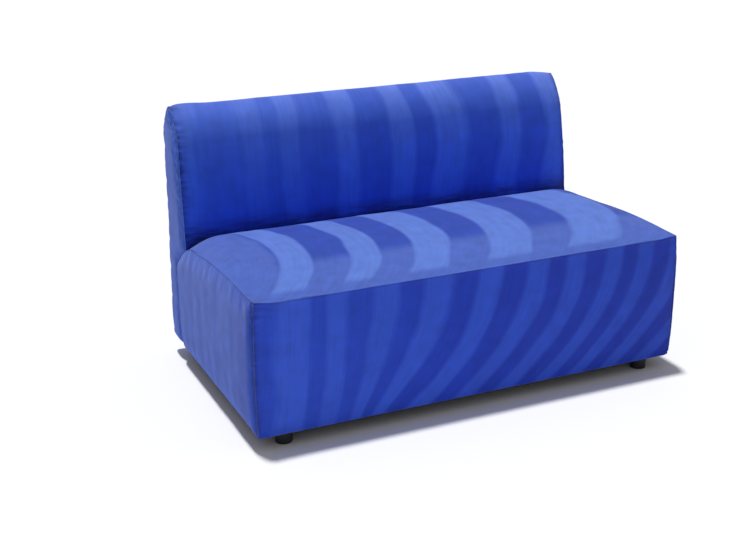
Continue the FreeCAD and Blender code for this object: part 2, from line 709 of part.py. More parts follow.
def build_seat_sheets():
    """Felt over the springs and the cloth under the frame."""
    x_frame = at("x_frame")
    upper = felt_face(size("insulator_thickness"), x_frame, at("y_frame"), at("y_frame_rear"))
    lower = felt_face(0, x_frame, at("y_frame"), at("y_frame_rear"))
    keep(free_shape("seat_insulator", upper.cut(lower)), "seat_insulator")

    sheet_box = board("seat_dust_cover_board", ("-Places.x_dust", "Places.x_dust"),
                      ("Places.y_seam + Sizes.cover_thickness", "Places.y_seat_rear - Sizes.cover_thickness"),
                      ("Sizes.foot_height", "Places.z_frame"))
    slits = stud_slits("seat_dust_cover", "Places.y_front_foot")
    keep(cut_away("seat_dust_cover", sheet_box, slits), "seat_dust_cover")


# Back

def build_back_frame():
    """Shaped posts, rails, rear board and interlaced webbing of the back."""
    bottom = "Places.z_frame"
    toe = "Places.y_hem - Sizes.cover_thickness"
    heel = "Sizes.foot_height + Sizes.hem_radius"
    outline = [("Places.y_back_frame", bottom), (toe, bottom),
               (toe, "Sizes.foot_height + Places.wrap + Sizes.board_thickness"),
               ("Places.y_rear_frame", heel), ("Places.y_rear_frame", "Places.z_rear_seam"),
               ("Places.y_rear_frame - Sizes.back_frame_bevel", "Places.z_back_frame"),
               ("Places.y_web", "Places.z_back_frame"), ("Places.y_web", "Places.lumbar_low"),
               ("Places.y_back_frame", "Places.z_rail_top")]
    left = padded_body("back_left_post", "YZ_Plane", outline, "Sizes.rail_thickness")
    keep(bind(left, x="-Places.x_back_frame"), "back_left_post")
    right = padded_body("back_right_post", "YZ_Plane", outline, "Sizes.rail_thickness")
    keep(bind(right, x="Places.x_back_rail"), "back_right_post")
    centre = padded_body("back_centre_board", "YZ_Plane", outline, "Sizes.rail_thickness")
    bind(centre, x="-Sizes.rail_thickness / 2")

    wide = ("-Places.x_back_rail", "Places.x_back_rail")
    joint = ("Places.y_back_frame", "Places.y_back_frame + Sizes.rail_thickness")
    web = ("Places.y_web", "Places.y_web + Sizes.rail_thickness")
    flat = ("Places.y_back_frame", toe)
    rails = {
        "back_top_rail": (web, ("Places.z_back_frame - Sizes.top_rail_height", "Places.z_back_frame")),
        "back_lumbar_rail": (web, ("Places.lumbar_low", "Places.lumbar_top")),
        "back_joining_rail": (joint, ("Places.z_rail_top - Sizes.rail_height", "Places.z_rail_top")),
        "back_bottom_rail": (flat, (bottom, "Places.z_base")),
    }
    notches = []
    for name, (y, z) in rails.items():
        rail = board(name + "_board", wide, y, z)
        notches.append(rail)
        if name == "back_joining_rail":
            rail = cut_away(name, rail, screw_holes(name, "Sizes.screw_radius + Sizes.fit_gap"))
        if name == "back_bottom_rail":
            rail = cut_away(name, rail, stud_holes(name, "Places.y_back_foot",
                                                   "Sizes.stud_radius + Sizes.fit_gap"))
        keep(rail, name)
    recess = board("back_centre_recess", ("-Sizes.rail_thickness", "Sizes.rail_thickness"),
                   ("Places.y_web - Sizes.rail_thickness", "Places.y_web + Places.web_room"),
                   ("Places.lumbar_low", "Places.z_back_frame + Sizes.rail_thickness"))
    keep(cut_away("back_centre_post", centre, notches + [recess]), "back_centre_post")

    rear = ("Places.y_rear_frame", "Places.y_rear_board")
    keep(board("back_rear_board", ("-Places.x_back_frame", "Places.x_back_frame"), rear,
               (heel, "Places.z_rear_seam")), "back_rear_board")
    build_webbing()


def web_columns():
    """Middle lines of the upright straps, evenly spaced between the end posts."""
    count = int(size("web_count"))
    return [at("x_back_rail") * (2 * (index + 0.5) / count - 1) for index in range(count)]


def build_webbing():
    """Upright straps on the rails, and straps across that pass in front of and behind them by turns."""
    thick = size("web_thickness")
    width = size("web_width")
    face = at("y_web")
    overlap = size("lumbar_height") / 2
    low = at("lumbar_top") - overlap
    high = at("z_back_frame") - overlap
    uprights = [Part.makeBox(width, thick, high - low, Vec(x - width / 2, face - thick, low))
                for x in web_columns()]
    keep(free_shape("back_webbing_uprights", Part.makeCompound(uprights)), "back_webbing_uprights")

    rows = int(size("web_row_count"))
    open_low = at("lumbar_top")
    open_high = at("z_back_frame") - size("top_rail_height")
    step = thick + size("web_play")
    crossings = []
    for row in range(rows):
        middle = open_low + (open_high - open_low) * (row + 0.5) / rows
        end = (at("x_back_frame") + at("x_back_rail")) / 2
        turn = width * 0.75
        inner = at("x_back_rail") - size("web_setback")
        path = [(-end, 0), (-inner, 0)]
        for index, x in enumerate(web_columns()):
            hand = -step if (index + row) % 2 else step
            path += [(x - turn, hand), (x + turn, hand)]
        path += [(inner, 0), (end, 0)]
        front = [Vec(x, face - thick + y, middle - width / 2) for x, y in path]
        rear = [Vec(x, face + y, middle - width / 2) for x, y in reversed(path)]
        strap = Part.Face(Part.makePolygon(front + rear + front[:1]))
        crossings.append(strap.extrude(Vec(0, 0, width)))
    keep(free_shape("back_webbing_crossings", Part.makeCompound(crossings)), "back_webbing_crossings")


def seat_round(crown):
    """Centre and radius of the seat's rear rounding at a share of the crown."""
    lift = size("crown_rise") * crown
    start, foot = round_ends(0, lift)
    sagitta = size("round_sagitta") + lift
    radius = ((foot - start).Length ** 2 / 4 + sagitta ** 2) / (2 * sagitta)
    return swollen(start, foot, sagitta - radius), radius


def on_round(centre, radius, y):
    """Upper point of a circle at one depth."""
    return Vec(0, y, centre.z + math.sqrt(radius ** 2 - (y - centre.y) ** 2))


def back_end(z, half_low, half_high):
    """Place of the back's side plane at one height: it leans inwards to the top."""
    low = size("foot_height")
    share = (z - low) / (size("back_height") - low)
    return half_low + (half_high - half_low) * share


def back_outline(place, inset, crown, lower=None):
    """Side outline of the back, moved inwards by a layer.

    place gives the x of the section at a height; crown is 0 at the side seams and 1 in the middle.
    The underside stays where it is unless lower moves it up.
    """
    def point(y, z):
        return Vec(place(z), y, z)

    lift = size("back_end_drop") * crown
    swell = size("face_bulge") * crown
    under = size("foot_height")
    y_rear = at("y_rear")
    centre, radius = seat_round(crown)
    nest = radius + size("back_gap") + inset
    nest_low = on_round(centre, nest, at("y_back") + inset)
    face_y = at("y_back") - size("face_overhang") - swell + inset
    nest_high = on_round(centre, nest, face_y)
    middle = (nest_low + nest_high) / 2 - centre
    nest_mid = centre + middle.normalize() * nest
    face_top = Vec(0, at("y_back") - size("face_overhang") - swell + size("face_lean") + inset,
                   at("z_face_top"))
    face_mid = (nest_high + face_top) / 2 - Vec(0, swell / 2, 0)
    top = Vec(0, y_rear - size("top_setback"), size("back_height") - size("back_end_drop") + lift - inset)
    rear_top = Vec(0, y_rear - inset, at("z_rear_seam"))

    front_mid = swollen(face_top, top, size("top_front_sagitta") + lift / 3)
    rear_mid = swollen(top, rear_top, size("top_rear_sagitta") + lift / 2)
    hem = size("hem_radius")
    hem_high = Vec(0, y_rear - inset, under + hem)
    hem_low = Vec(0, y_rear - hem, under + inset)
    diagonal = (hem - inset) * math.sqrt(0.5)
    hem_mid = Vec(0, y_rear - hem + diagonal, under + hem - diagonal)
    bottom = under if lower is None else under + lower
    front_low = Vec(0, at("y_back") + inset, bottom)

    def moved(vector):
        return point(vector.y, vector.z)

    face = line(moved(nest_high), moved(face_top))
    if swell > 0:
        face = arc(moved(nest_high), moved(face_mid), moved(face_top))
    edges = [line(moved(front_low), moved(nest_low)),
             arc(moved(nest_low), moved(nest_mid), moved(nest_high)),
             face,
             arc(moved(face_top), moved(front_mid), moved(top)),
             arc(moved(top), moved(rear_mid), moved(rear_top)),
             line(moved(rear_top), moved(hem_high)),
             arc(moved(hem_high), moved(hem_mid), moved(hem_low))]
    low_end = hem_low
    if hem_low.z > bottom:
        low_end = Vec(0, hem_low.y, bottom)
        edges.append(line(moved(hem_low), moved(low_end)))
    edges.append(line(moved(low_end), moved(front_low)))
    return Part.Wire(edges)


def leaning(share, more):
    """Places, by height, of a plane that leans with the side seams: a share of the way out, and more."""
    low = at("half_back_foot") - size("cover_thickness")
    high = at("half_back_top") - size("cover_thickness")
    return lambda z: share * back_end(z, low, high) + more


def back_core(inset, extra=0):
    """Crowned block of the back between the inner edges of its side panels."""
    wires = [back_outline(leaning(share, more), inset, crown)
             for share, crown, more in stations(extra)]
    return Part.makeLoft(wires, True, True)


def build_back_soft():
    """Foam, batting and the four covers of the back."""
    cover = size("cover_thickness")
    wrap = at("wrap")
    x_frame = at("x_back_frame")
    keep(board("back_insulator", ("-Places.x_back_frame", "Places.x_back_frame"),
               ("Places.y_back_felt", "Places.y_web - Places.web_room"),
               ("Places.lumbar_low", "Places.z_back_frame")), "back_insulator")

    core = back_core(wrap, wrap).common(slab(-x_frame, x_frame))
    felt = at("y_back_felt")
    low = at("lumbar_low")
    high = at("z_back_frame")
    zone = [(at("y_back_frame"), 0), (at("y_back_frame"), at("z_rail_top")), (at("y_web"), low),
            (felt, low), (felt, high), (at("y_rear"), high), (at("y_rear"), 0)]
    corners = [Vec(-x_frame, y, z) for y, z in zone]
    frame_zone = Part.Face(Part.makePolygon(corners + corners[:1])).extrude(Vec(2 * x_frame, 0, 0))
    keep(free_shape("back_foam", core.cut(frame_zone)), "back_foam")

    fill = back_core(cover)
    swell = size("side_bulge")
    edge = size("back_bulge_edge")
    steps = ((0, 0), (swell, edge))
    for hand, side in (("left", -1), ("right", 1)):
        rim = [back_outline(leaning(side, side * out), 0, 0, 0) for out in (0, cover)]
        crown = [back_outline(leaning(side, side * (cover + out)), inset, 0, inset) for out, inset in steps]
        outer = Part.makeLoft(rim, True, True).fuse(Part.makeLoft(crown, True, True))
        crown = [back_outline(leaning(side, side * out), cover + inset, 0, cover + inset)
                 for out, inset in steps]
        flank = Part.makeLoft(crown, True, True)
        keep(free_shape(f"back_{hand}_cover", outer.cut(flank)), f"back_{hand}_cover")
        fill = fill.fuse(flank)
    batting = free_shape("back_batting_whole", fill.cut(core).cut(below(at("z_frame"))))
    keep(cut_away("back_batting", batting, screw_slits("back_batting")), "back_batting")

    skin = back_core(0).cut(back_core(cover, cover))
    length = size("seat_width")
    rear_box = Part.makeBox(2 * length, size("back_depth"), at("z_rear_seam"),
                            Vec(-length, at("y_hem") - cover, 0))
    front = free_shape("back_front_cover_whole", skin.cut(rear_box))
    keep(cut_away("back_front_cover", front, screw_slits("back_front_cover")), "back_front_cover")
    keep(free_shape("back_rear_cover", skin.common(rear_box)), "back_rear_cover")

    sheet_box = board("back_dust_cover_board",
                      ("-Places.x_back_frame", "Places.x_back_frame"),
                      ("Places.y_back + Sizes.cover_thickness", "Places.y_hem"),
                      ("Sizes.foot_height", "Places.z_frame"))
    slits = stud_slits("back_dust_cover", "Places.y_back_foot")
    keep(cut_away("back_dust_cover", sheet_box, slits), "back_dust_cover")


build_seat_frame()
build_feet()
build_joining_screws()
build_springs()
build_seat_soft()
build_seat_sheets()
build_back_frame()
build_back_soft()

DOC.recompute()
for item in DOC.Objects:
    if "Invalid" in item.State or "Error" in item.State:
        raise RuntimeError(f"{item.Name} failed: {item.State}")
for node in NODES:
    if node.Shape.isNull() or not node.Shape.isValid():
        raise RuntimeError(f"{node.Label} has no valid shape")

os.makedirs("parts", exist_ok=True)
for node in NODES:
    node.Shape.exportStep(f"parts/{node.Label}.step")
    box = node.Shape.BoundBox
    print(node.Label, len(node.Shape.Solids), round(node.Shape.Volume),
          [round(v, 1) for v in (box.XMin, box.XMax, box.YMin, box.YMax, box.ZMin, box.ZMax)])
print(len(NODES), "nodes")
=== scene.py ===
"""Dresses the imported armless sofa: upholstery, feet, dust covers, light and camera."""

import logging
import math
from dataclasses import dataclass, field
from enum import Enum

import bpy
import numpy as np
from mathutils import Matrix, Vector, kdtree, noise


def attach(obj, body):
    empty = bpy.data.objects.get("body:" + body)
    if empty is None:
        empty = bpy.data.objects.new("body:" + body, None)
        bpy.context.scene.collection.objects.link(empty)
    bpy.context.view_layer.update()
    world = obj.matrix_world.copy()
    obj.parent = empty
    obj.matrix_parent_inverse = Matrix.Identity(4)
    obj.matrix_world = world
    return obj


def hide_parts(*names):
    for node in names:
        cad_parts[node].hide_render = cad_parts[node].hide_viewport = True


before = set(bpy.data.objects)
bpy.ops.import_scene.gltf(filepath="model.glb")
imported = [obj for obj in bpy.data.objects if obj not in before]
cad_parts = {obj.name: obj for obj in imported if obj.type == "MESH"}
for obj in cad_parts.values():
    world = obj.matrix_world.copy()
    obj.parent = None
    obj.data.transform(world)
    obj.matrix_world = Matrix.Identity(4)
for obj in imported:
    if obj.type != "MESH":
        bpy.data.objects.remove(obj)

MM = 0.001
LOG = logging.getLogger("sofa")
Pair = tuple[float, float]


class Panel(Enum):
    """The cloth panels of an upholstered box, in the order of their material slots."""

    FRONT = 0
    TOP = 1
    REAR = 2
    BASE = 3
    LEFT = 4
    RIGHT = 5


def linear(hex_colour: str) -> tuple[float, float, float, float]:
    """Turns an sRGB hex colour into linear RGBA.

    Args:
        hex_colour: six hex digits.

    Returns:
        The linear colour with an alpha of 1.
    """
    parts = [int(hex_colour[i : i + 2], 16) / 255 for i in (0, 2, 4)]
    r, g, b = [p / 12.92 if p <= 0.04045 else ((p + 0.055) / 1.055) ** 2.4 for p in parts]
    return (r, g, b, 1.0)


def add(
    tree: bpy.types.NodeTree, kind: str, links: dict | None = None, **settings: object
) -> bpy.types.Node:
    """Adds one shader node with its settings and links.

    Args:
        tree: the material's node tree.
        kind: the node's type, without the ShaderNode prefix.
        links: input name or index to a value or to another node's output socket.
        settings: properties of the node itself.

    Returns:
        The new node.
    """
    node = tree.nodes.new("ShaderNode" + kind)
    for name, value in settings.items():
        setattr(node, name, value)
    for key, value in (links or {}).items():
        socket = node.inputs[key]
        if isinstance(value, bpy.types.NodeSocket):
            tree.links.new(value, socket)
        else:
            socket.default_value = value
    return node


def new_tree(name: str) -> tuple[bpy.types.Material, bpy.types.NodeTree, bpy.types.Node]:
    """Makes a material with only an output and a Principled shader.

    Args:
        name: the material's name.

    Returns:
        The material, its tree and the shader node.
    """
    material = bpy.data.materials.new(name)
    material.use_nodes = True
    tree = material.node_tree
    tree.nodes.clear()
    shader = add(tree, "BsdfPrincipled")
    add(tree, "OutputMaterial", {"Surface": shader.outputs[0]})
    return material, tree, shader


@dataclass(frozen=True)
class BrushedMicrosuede:
    """Polyester microsuede, woven, dyed blue and sanded to a short nap.

    The nap lies as a hand last stroked it, so the eye sees broad light and dark strokes with
    soft edges, a dull glow where the cloth turns away, and no highlight.

    Attributes:
        name: the material's name.
        light: colour of the nap stroked towards the light, as sRGB hex digits.
        dark: colour of the nap stroked away from it.
        plain: colour of the nap that keeps no stroke.
        edge: softness of a stroke's edge, as a share of the wave across the strokes.
        wander: how far a stroke's edge wanders, in strokes.
        streak: strength of the fine streaks and clouds.
        fine: streaks in one stroke's width and in a metre along it.
        shade_axis: the object axis along which a slow ramp darkens the tone as painted shade.
        shade_span: where that painted shade starts and ends, in metres.
        shade: its stops, each a share of the span and a colour that multiplies the tone.
        sheen: the nap's glow at grazing angles.
        roughness: the nap's roughness.
        gloss: the fibres' specular level.
        wobble: waves in a metre that a stroke's edge wanders by.
        clouds: clouds in a metre where the nap is rubbed.
        fibres: tufts in a metre, drawn coarser than real ones so that they show.
        fibre_height: the tufts' height in metres.
        ticks: short ticks in a metre along each axis, in the painted shade at a seam.
        painted_shade_colour: colour of the painted shade at seams, creases and gathers.
    """

    name: str
    light: str
    dark: str
    plain: str
    edge: float = 0.22
    wander: float = 0.3
    streak: float = 0.10
    fine: Pair = (7.0, 7.0)
    shade_axis: str = "Z"
    shade_span: Pair = (0.0, 1.0)
    shade: tuple[tuple[float, str], ...] = ((0.0, "FFFFFF"), (1.0, "FFFFFF"))
    sheen: float = 0.25
    roughness: float = 0.75
    gloss: float = 0.15
    wobble: float = 5.0
    clouds: float = 22.0
    fibres: float = 420.0
    fibre_height: float = 0.0008
    ticks: tuple[float, float, float] = (18.0, 30.0, 95.0)
    painted_shade_colour: str = "0A1560"

    def material(self) -> bpy.types.Material:
        """Builds the material, its strokes read from the piece's nap map.

        Returns:
            The finished material.
        """
        material, tree, shader = new_tree(self.name)
        nap = add(tree, "UVMap", uv_map="nap")
        fade = add(tree, "UVMap", uv_map="fade")
        coords = add(tree, "TexCoord")
        split = add(tree, "SeparateXYZ", {0: nap.outputs[0]})
        faded = add(tree, "SeparateXYZ", {0: fade.outputs[0]})
        wobble = add(
            tree,
            "TexNoise",
            {"Vector": coords.outputs["Object"], "Scale": self.wobble, "Detail": 1.0},
        )
        shift = add(
            tree,
            "Math",
            {0: wobble.outputs[0], 1: self.wander, 2: -0.5 * self.wander},
            operation="MULTIPLY_ADD",
        )
        across = add(tree, "Math", {0: split.outputs[0], 1: shift.outputs[0]}, operation="ADD")
        turns = add(tree, "Math", {0: across.outputs[0], 1: math.pi}, operation="MULTIPLY")
        wave = add(tree, "Math", {0: turns.outputs[0]}, operation="SINE")
        stroke = add(
            tree,
            "MapRange",
            {0: wave.outputs[0], 1: -self.edge, 2: self.edge, 3: 0.0, 4: 1.0},
            interpolation_type="SMOOTHSTEP",
        )
        plain = linear(self.plain)
        dark = add(tree, "Mix", {0: faded.outputs[0], 6: linear(self.dark), 7: plain}, data_type="RGBA")
        light = add(tree, "Mix", {0: faded.outputs[1], 6: linear(self.light), 7: plain}, data_type="RGBA")
        tone = add(
            tree,
            "Mix",
            {0: stroke.outputs[0], 6: dark.outputs[2], 7: light.outputs[2]},
            data_type="RGBA",
        )
        lines = add(tree, "CombineXYZ", {0: split.outputs[0], 1: split.outputs[1], 2: 0.0})
        drawn = add(tree, "Mapping", {0: lines.outputs[0], 3: (*self.fine, 1.0)})
        streaks = add(
            tree,
            "TexNoise",
            {"Vector": drawn.outputs[0], "Scale": 1.0, "Detail": 4.0, "Roughness": 0.6},
        )
        patch = add(
            tree,
            "TexNoise",
            {"Vector": coords.outputs["Object"], "Scale": self.clouds, "Detail": 4.0},
        )
        both = add(tree, "Math", {0: streaks.outputs[0], 1: patch.outputs[0]}, operation="ADD")
        # The two noises add up to about 1 and stay within about 0.4 of it.
        swing = self.streak * 1.6
        level = add(
            tree,
            "MapRange",
            {0: both.outputs[0], 1: 0.6, 2: 1.4, 3: 1 - swing, 4: 1 + swing},
        )
        final = add(tree, "VectorMath", {0: tone.outputs[2], "Scale": level.outputs[0]}, operation="SCALE")
        # A ramp along one axis paints shade; then the seams, creases and gathers get painted shade.
        shaded = self.shaded(tree, coords, final.outputs[0])
        tree.links.new(self.pressed(tree, coords, shaded), shader.inputs["Base Color"])
        fibre = add(
            tree,
            "TexNoise",
            {"Vector": coords.outputs["Object"], "Scale": self.fibres, "Detail": 2.0},
        )
        bump = add(
            tree,
            "Bump",
            {"Height": fibre.outputs[0], "Strength": 0.12, "Distance": self.fibre_height},
        )
        tree.links.new(bump.outputs[0], shader.inputs["Normal"])
        shader.inputs["Roughness"].default_value = self.roughness
        shader.inputs["Sheen Weight"].default_value = self.sheen
        shader.inputs["Specular IOR Level"].default_value = self.gloss
        return material

    def shaded(
        self, tree: bpy.types.NodeTree, coords: bpy.types.Node, tone: bpy.types.NodeSocket
    ) -> bpy.types.NodeSocket:
        """Lays painted shade over the panel: a slow ramp along one axis that darkens the tone.

        Args:
            tree: the material's node tree.
            coords: its Texture Coordinate node.
            tone: the colour so far.

        Returns:
            The colour socket with the change in it.
        """
        axes = add(tree, "SeparateXYZ", {0: coords.outputs["Object"]})
        start, end = self.shade_span
        share = add(
            tree,
            "MapRange",
            {0: axes.outputs[self.shade_axis], 1: start, 2: end, 3: 0.0, 4: 1.0},
        )
        ramp = add(tree, "ValToRGB", {0: share.outputs[0]})
        stops = ramp.color_ramp.elements
        while len(stops) < len(self.shade):
            stops.new(0.5)
        for stop, (position, colour) in zip(stops, self.shade):
            stop.position = position
            stop.color = linear(colour)
        mixed = add(
            tree,
            "Mix",
            {0: 1.0, 6: tone, 7: ramp.outputs[0]},
            data_type="RGBA",
            blend_type="MULTIPLY",
        )
        return mixed.outputs[2]

    def pressed(
        self, tree: bpy.types.NodeTree, coords: bpy.types.Node, tone: bpy.types.NodeSocket
    ) -> bpy.types.NodeSocket:
        """Paints shade at seams, creases and gathers, in short ticks that paint the gathers' shadows.

        Args:
            tree: the material's node tree.
            coords: its Texture Coordinate node.
            tone: the colour so far.

        Returns:
            The colour socket with the painted shade in it.
        """
        painted_shade = add(tree, "UVMap", uv_map="painted_shade")
        parts = add(tree, "SeparateXYZ", {0: painted_shade.outputs[0]})
        ticks = add(tree, "Mapping", {0: coords.outputs["Object"], 3: self.ticks})
        tick = add(tree, "TexNoise", {"Vector": ticks.outputs[0], "Scale": 1.0, "Detail": 2.0})
        uneven = add(tree, "MapRange", {0: tick.outputs[0], 1: 0.35, 2: 0.65, 3: 0.45, 4: 1.0})
        # Painted shade: the dark colour is mixed in as far as the seams' map says, broken into ticks.
        amount = add(tree, "Math", {0: parts.outputs[0], 1: uneven.outputs[0]}, operation="MULTIPLY")
        mixed = add(
            tree,
            "Mix",
            {0: amount.outputs[0], 6: tone, 7: linear(self.painted_shade_colour)},
            data_type="RGBA",
        )
        return mixed.outputs[2]


class Surface(Enum):
    """How a hidden or plain finish was made, which decides its pattern."""

    SAWN = "sawn"
    PRESSED = "pressed"
    DRAWN = "drawn"
    FIBROUS = "fibrous"
    WOVEN = "woven"
    MOULDED = "moulded"


@dataclass(frozen=True)
class PlainFinish:
    """One finish of the frame, springs, fillings, webbing, cloth or feet.

    Each is named for its real material and gives the eye two close tones and a low relief.

    Attributes:
        name: the material's name.
        colour: its lighter tone, as sRGB hex digits.
        second: its darker tone.
        surface: how it was made.
        pattern: size of its pattern in millimetres: the width of the grain of sawn pine, the
            fibres of felt or pressed board, the die lines of drawn wire, the thread pitch of
            webbing or the spark texture of a moulded foot.
        relief: strength of the relief.
        roughness: its roughness, which the pattern swings a little.
        metallic: 1 for bare metal.
    """

    name: str
    colour: str
    second: str
    surface: Surface
    pattern: float
    relief: float = 0.2
    roughness: float = 0.7
    metallic: float = 0.0

    def stretch(self) -> tuple[float, float, float]:
        """How many pattern widths fit in a metre along each axis.

        Returns:
            The counts on x, y and z, smaller along the grain, the draw or the fibres, whose
            marks are 12, 6 and 3 times as long as they are wide.
        """
        fine = 1000 / self.pattern
        if self.surface is Surface.SAWN:
            return (fine / 12, fine, fine)
        if self.surface is Surface.DRAWN:
            return (fine, fine / 6, fine)
        if self.surface is Surface.FIBROUS:
            return (fine, fine / 3, fine)
        return (fine, fine, fine)

    def material(self) -> bpy.types.Material:
        """Builds the material: two close tones and a relief from the same pattern.

        Returns:
            The finished material.
        """
        material, tree, shader = new_tree(self.name)
        coords = add(tree, "TexCoord")
        spread = add(tree, "Mapping", {0: coords.outputs["Object"], 3: self.stretch()})
        noisy = add(
            tree,
            "TexNoise",
            {"Vector": spread.outputs[0], "Scale": 1.0, "Detail": 5.0, "Roughness": 0.6},
        )
        pattern = noisy.outputs[0]
        if self.surface is Surface.SAWN:
            # A wave of scale 0.12 spreads the year rings over about three grain widths.
            rings = add(
                tree,
                "TexWave",
                {"Vector": spread.outputs[0], "Scale": 0.12, "Distortion": 6.0, "Detail": 3.0},
                bands_direction="Z",
            )
            pattern = add(tree, "Mix", {0: 0.5, 2: noisy.outputs[0], 3: rings.outputs[1]}).outputs[0]
        if self.surface is Surface.WOVEN:
            # A wave of scale 0.31 has one crest to each thread.
            threads = {"Vector": spread.outputs[0], "Scale": 0.31}
            warp = add(tree, "TexWave", threads, bands_direction="X")
            weft = add(tree, "TexWave", threads, bands_direction="Z")
            crossed = add(tree, "Math", {0: warp.outputs[1], 1: weft.outputs[1]}, operation="MULTIPLY")
            pattern = crossed.outputs[0]
        tone = add(
            tree,
            "Mix",
            {0: pattern, 6: linear(self.second), 7: linear(self.colour)},
            data_type="RGBA",
        )
        swing = 0.08
        rough = add(
            tree,
            "MapRange",
            {0: pattern, 1: 0.0, 2: 1.0, 3: self.roughness + swing, 4: self.roughness - swing},
        )
        depth = self.pattern * MM / 3
        bump = add(tree, "Bump", {"Height": pattern, "Strength": self.relief, "Distance": depth})
        tree.links.new(tone.outputs[2], shader.inputs["Base Color"])
        tree.links.new(rough.outputs[0], shader.inputs["Roughness"])
        tree.links.new(bump.outputs[0], shader.inputs["Normal"])
        shader.inputs["Metallic"].default_value = self.metallic
        return material


def arc(start: Pair, end: Pair, sagitta: float, count: int = 60) -> np.ndarray:
    """Points along an arc that stands out to the left of its chord.

    Args:
        start: first point in millimetres.
        end: last point.
        sagitta: how far the arc's middle stands off the chord.
        count: number of points.

    Returns:
        The points, one row each.
    """
    a = np.array(start, float)
    b = np.array(end, float)
    share = np.linspace(0, 1, count)[:, None]
    if abs(sagitta) < 1e-6:
        return a + share * (b - a)
    chord = b - a
    length = np.linalg.norm(chord)
    left = np.array([-chord[1], chord[0]]) / length
    radius = (length**2 / 4 + sagitta**2) / (2 * sagitta)
    centre = (a + b) / 2 + left * (sagitta - radius)
    first = math.atan2(*(a - centre)[::-1])
    last = math.atan2(*(b - centre)[::-1])
    turn = (last - first + math.pi) % (2 * math.pi) - math.pi
    angles = first + share[:, 0] * turn
    return centre + abs(radius) * np.column_stack([np.cos(angles), np.sin(angles)])


def arc_past(start: Pair, middle: Pair, end: Pair, count: int = 80) -> np.ndarray:
    """Points along the arc from start to end that passes through middle.

    Args:
        start: first point in millimetres.
        middle: a point on the arc.
        end: last point.
        count: number of points.

    Returns:
        The points, one row each.
    """
    a, m, b = (np.array(p, float) for p in (start, middle, end))
    grid = 2 * np.array([m - a, b - a])
    centre = np.linalg.solve(grid, np.array([m @ m - a @ a, b @ b - a @ a]))
    radius = np.linalg.norm(a - centre)
    chord = b - a
    left = np.array([-chord[1], chord[0]]) / np.linalg.norm(chord)
    rise = radius - math.sqrt(max(radius**2 - (np.linalg.norm(chord) / 2) ** 2, 0))
    side = 1 if (m - a) @ left > 0 else -1
    return arc(start, end, side * rise, count)


def spaced(path: np.ndarray, cells: int, ease: float = 0.3) -> np.ndarray:
    """Resamples a path by its length, closer together near both ends.

    Args:
        path: the path's points.
        cells: number of pieces to cut it into.
        ease: 0 for even pieces, up to 1 for very short ones at the ends.

    Returns:
        The cells + 1 points.
    """
    steps = np.linalg.norm(np.diff(path, axis=0), axis=1)
    run = np.concatenate([[0], np.cumsum(steps)])
    t = np.linspace(0, 1, cells + 1)
    t = (1 - ease) * t + ease * (1 - np.cos(math.pi * t)) / 2
    return np.column_stack([np.interp(t * run[-1], run, path[:, i]) for i in (0, 1)])


def smooth(value: float, low: float, high: float) -> float:
    """Rises softly from 0 at low to 1 at high.

    Args:
        value: where to read the curve.
        low: where it leaves 0, which may be above high.
        high: where it reaches 1.

    Returns:
        The share from 0 to 1.
    """
    share = min(max((value - low) / (high - low), 0.0), 1.0)
    return share * share * (3 - 2 * share)


def apply_modifier(obj: bpy.types.Object, name: str) -> None:
    """Applies one modifier of an object that is then the only one selected.

    Args:
        obj: the object.
        name: the modifier's name.
    """
    bpy.ops.object.select_all(action="DESELECT")
    obj.select_set(True)
    bpy.context.view_layer.objects.active = obj
    bpy.ops.object.modifier_apply(modifier=name)


def positions(mesh: bpy.types.Mesh) -> np.ndarray:
    """Reads all vertex places of a mesh.

    Args:
        mesh: the mesh.

    Returns:
        The places in metres, one row each.
    """
    flat = np.empty(3 * len(mesh.vertices), np.float32)
    mesh.vertices.foreach_get("co", flat)
    return flat.reshape(-1, 3).astype(float)


def normals(mesh: bpy.types.Mesh) -> np.ndarray:
    """Reads all vertex normals of a mesh.

    Args:
        mesh: the mesh.

    Returns:
        The unit normals, one row each.
    """
    flat = np.empty(3 * len(mesh.vertices), np.float32)
    mesh.vertex_normals.foreach_get("vector", flat)
    return flat.reshape(-1, 3).astype(float)


def place(mesh: bpy.types.Mesh, points: np.ndarray) -> None:
    """Moves all vertices of a mesh.

    Args:
        mesh: the mesh.
        points: the new places in metres, one row each.
    """
    mesh.vertices.foreach_set("co", points.astype(np.float32).ravel())
    mesh.update()


@dataclass(frozen=True)
class Gather:
    """A stretch of seam where the cloth is gathered into small ridges.

    Attributes:
        centre: its middle, in millimetres as all sizes here.
        reach: how far along the seam it goes.
        height: height of the ridges.
        spacing: distance from ridge to ridge.
        length: how far the ridges run out from the seam.
    """

    centre: tuple[float, float, float]
    reach: float
    height: float
    spacing: float
    length: float = 26.0


@dataclass(frozen=True)
class Ear:
    """A corner that the sewn cloth and its filling push out or draw in.

    Attributes:
        corner: its place in millimetres.
        reach: how far round it the cloth moves.
        push: how far the corner itself moves.
    """

    corner: tuple[float, float, float]
    reach: float
    push: tuple[float, float, float]


@dataclass(frozen=True)
class DarkLine:
    """A line of painted shade that fades with the distance from it.

    Attributes:
        strength: how dark it is, from 0 to 1.
        reach: the distance in millimetres at which about a third of that is left.
    """

    strength: float
    reach: float

    def at(self, distance: float) -> float:
        """How dark the painted shade is at a distance in millimetres."""
        return self.strength * math.exp(-distance / self.reach)


@dataclass(frozen=True)
class SewnCloth:
    """Upholstery cloth over soft filling, as the cloth simulation needs it.

    Attributes:
        quality: steps that the solver takes in a frame.
        mass: mass of each vertex.
        tension: stiffness against pulling.
        compression: stiffness against pushing.
        shear: stiffness against slanting.
        bending: stiffness against folding.
        pressure: the filling's push from inside.
        shrink: how much longer the cloth is cut than the box, as a negative shrinkage.
        frames: number of frames that it is left to swell.
    """

    quality: int = 5
    mass: float = 0.25
    tension: float = 20.0
    compression: float = 12.0
    shear: float = 5.0
    bending: float = 1.5
    pressure: float = 4.0
    shrink: float = -0.008
    frames: int = 20


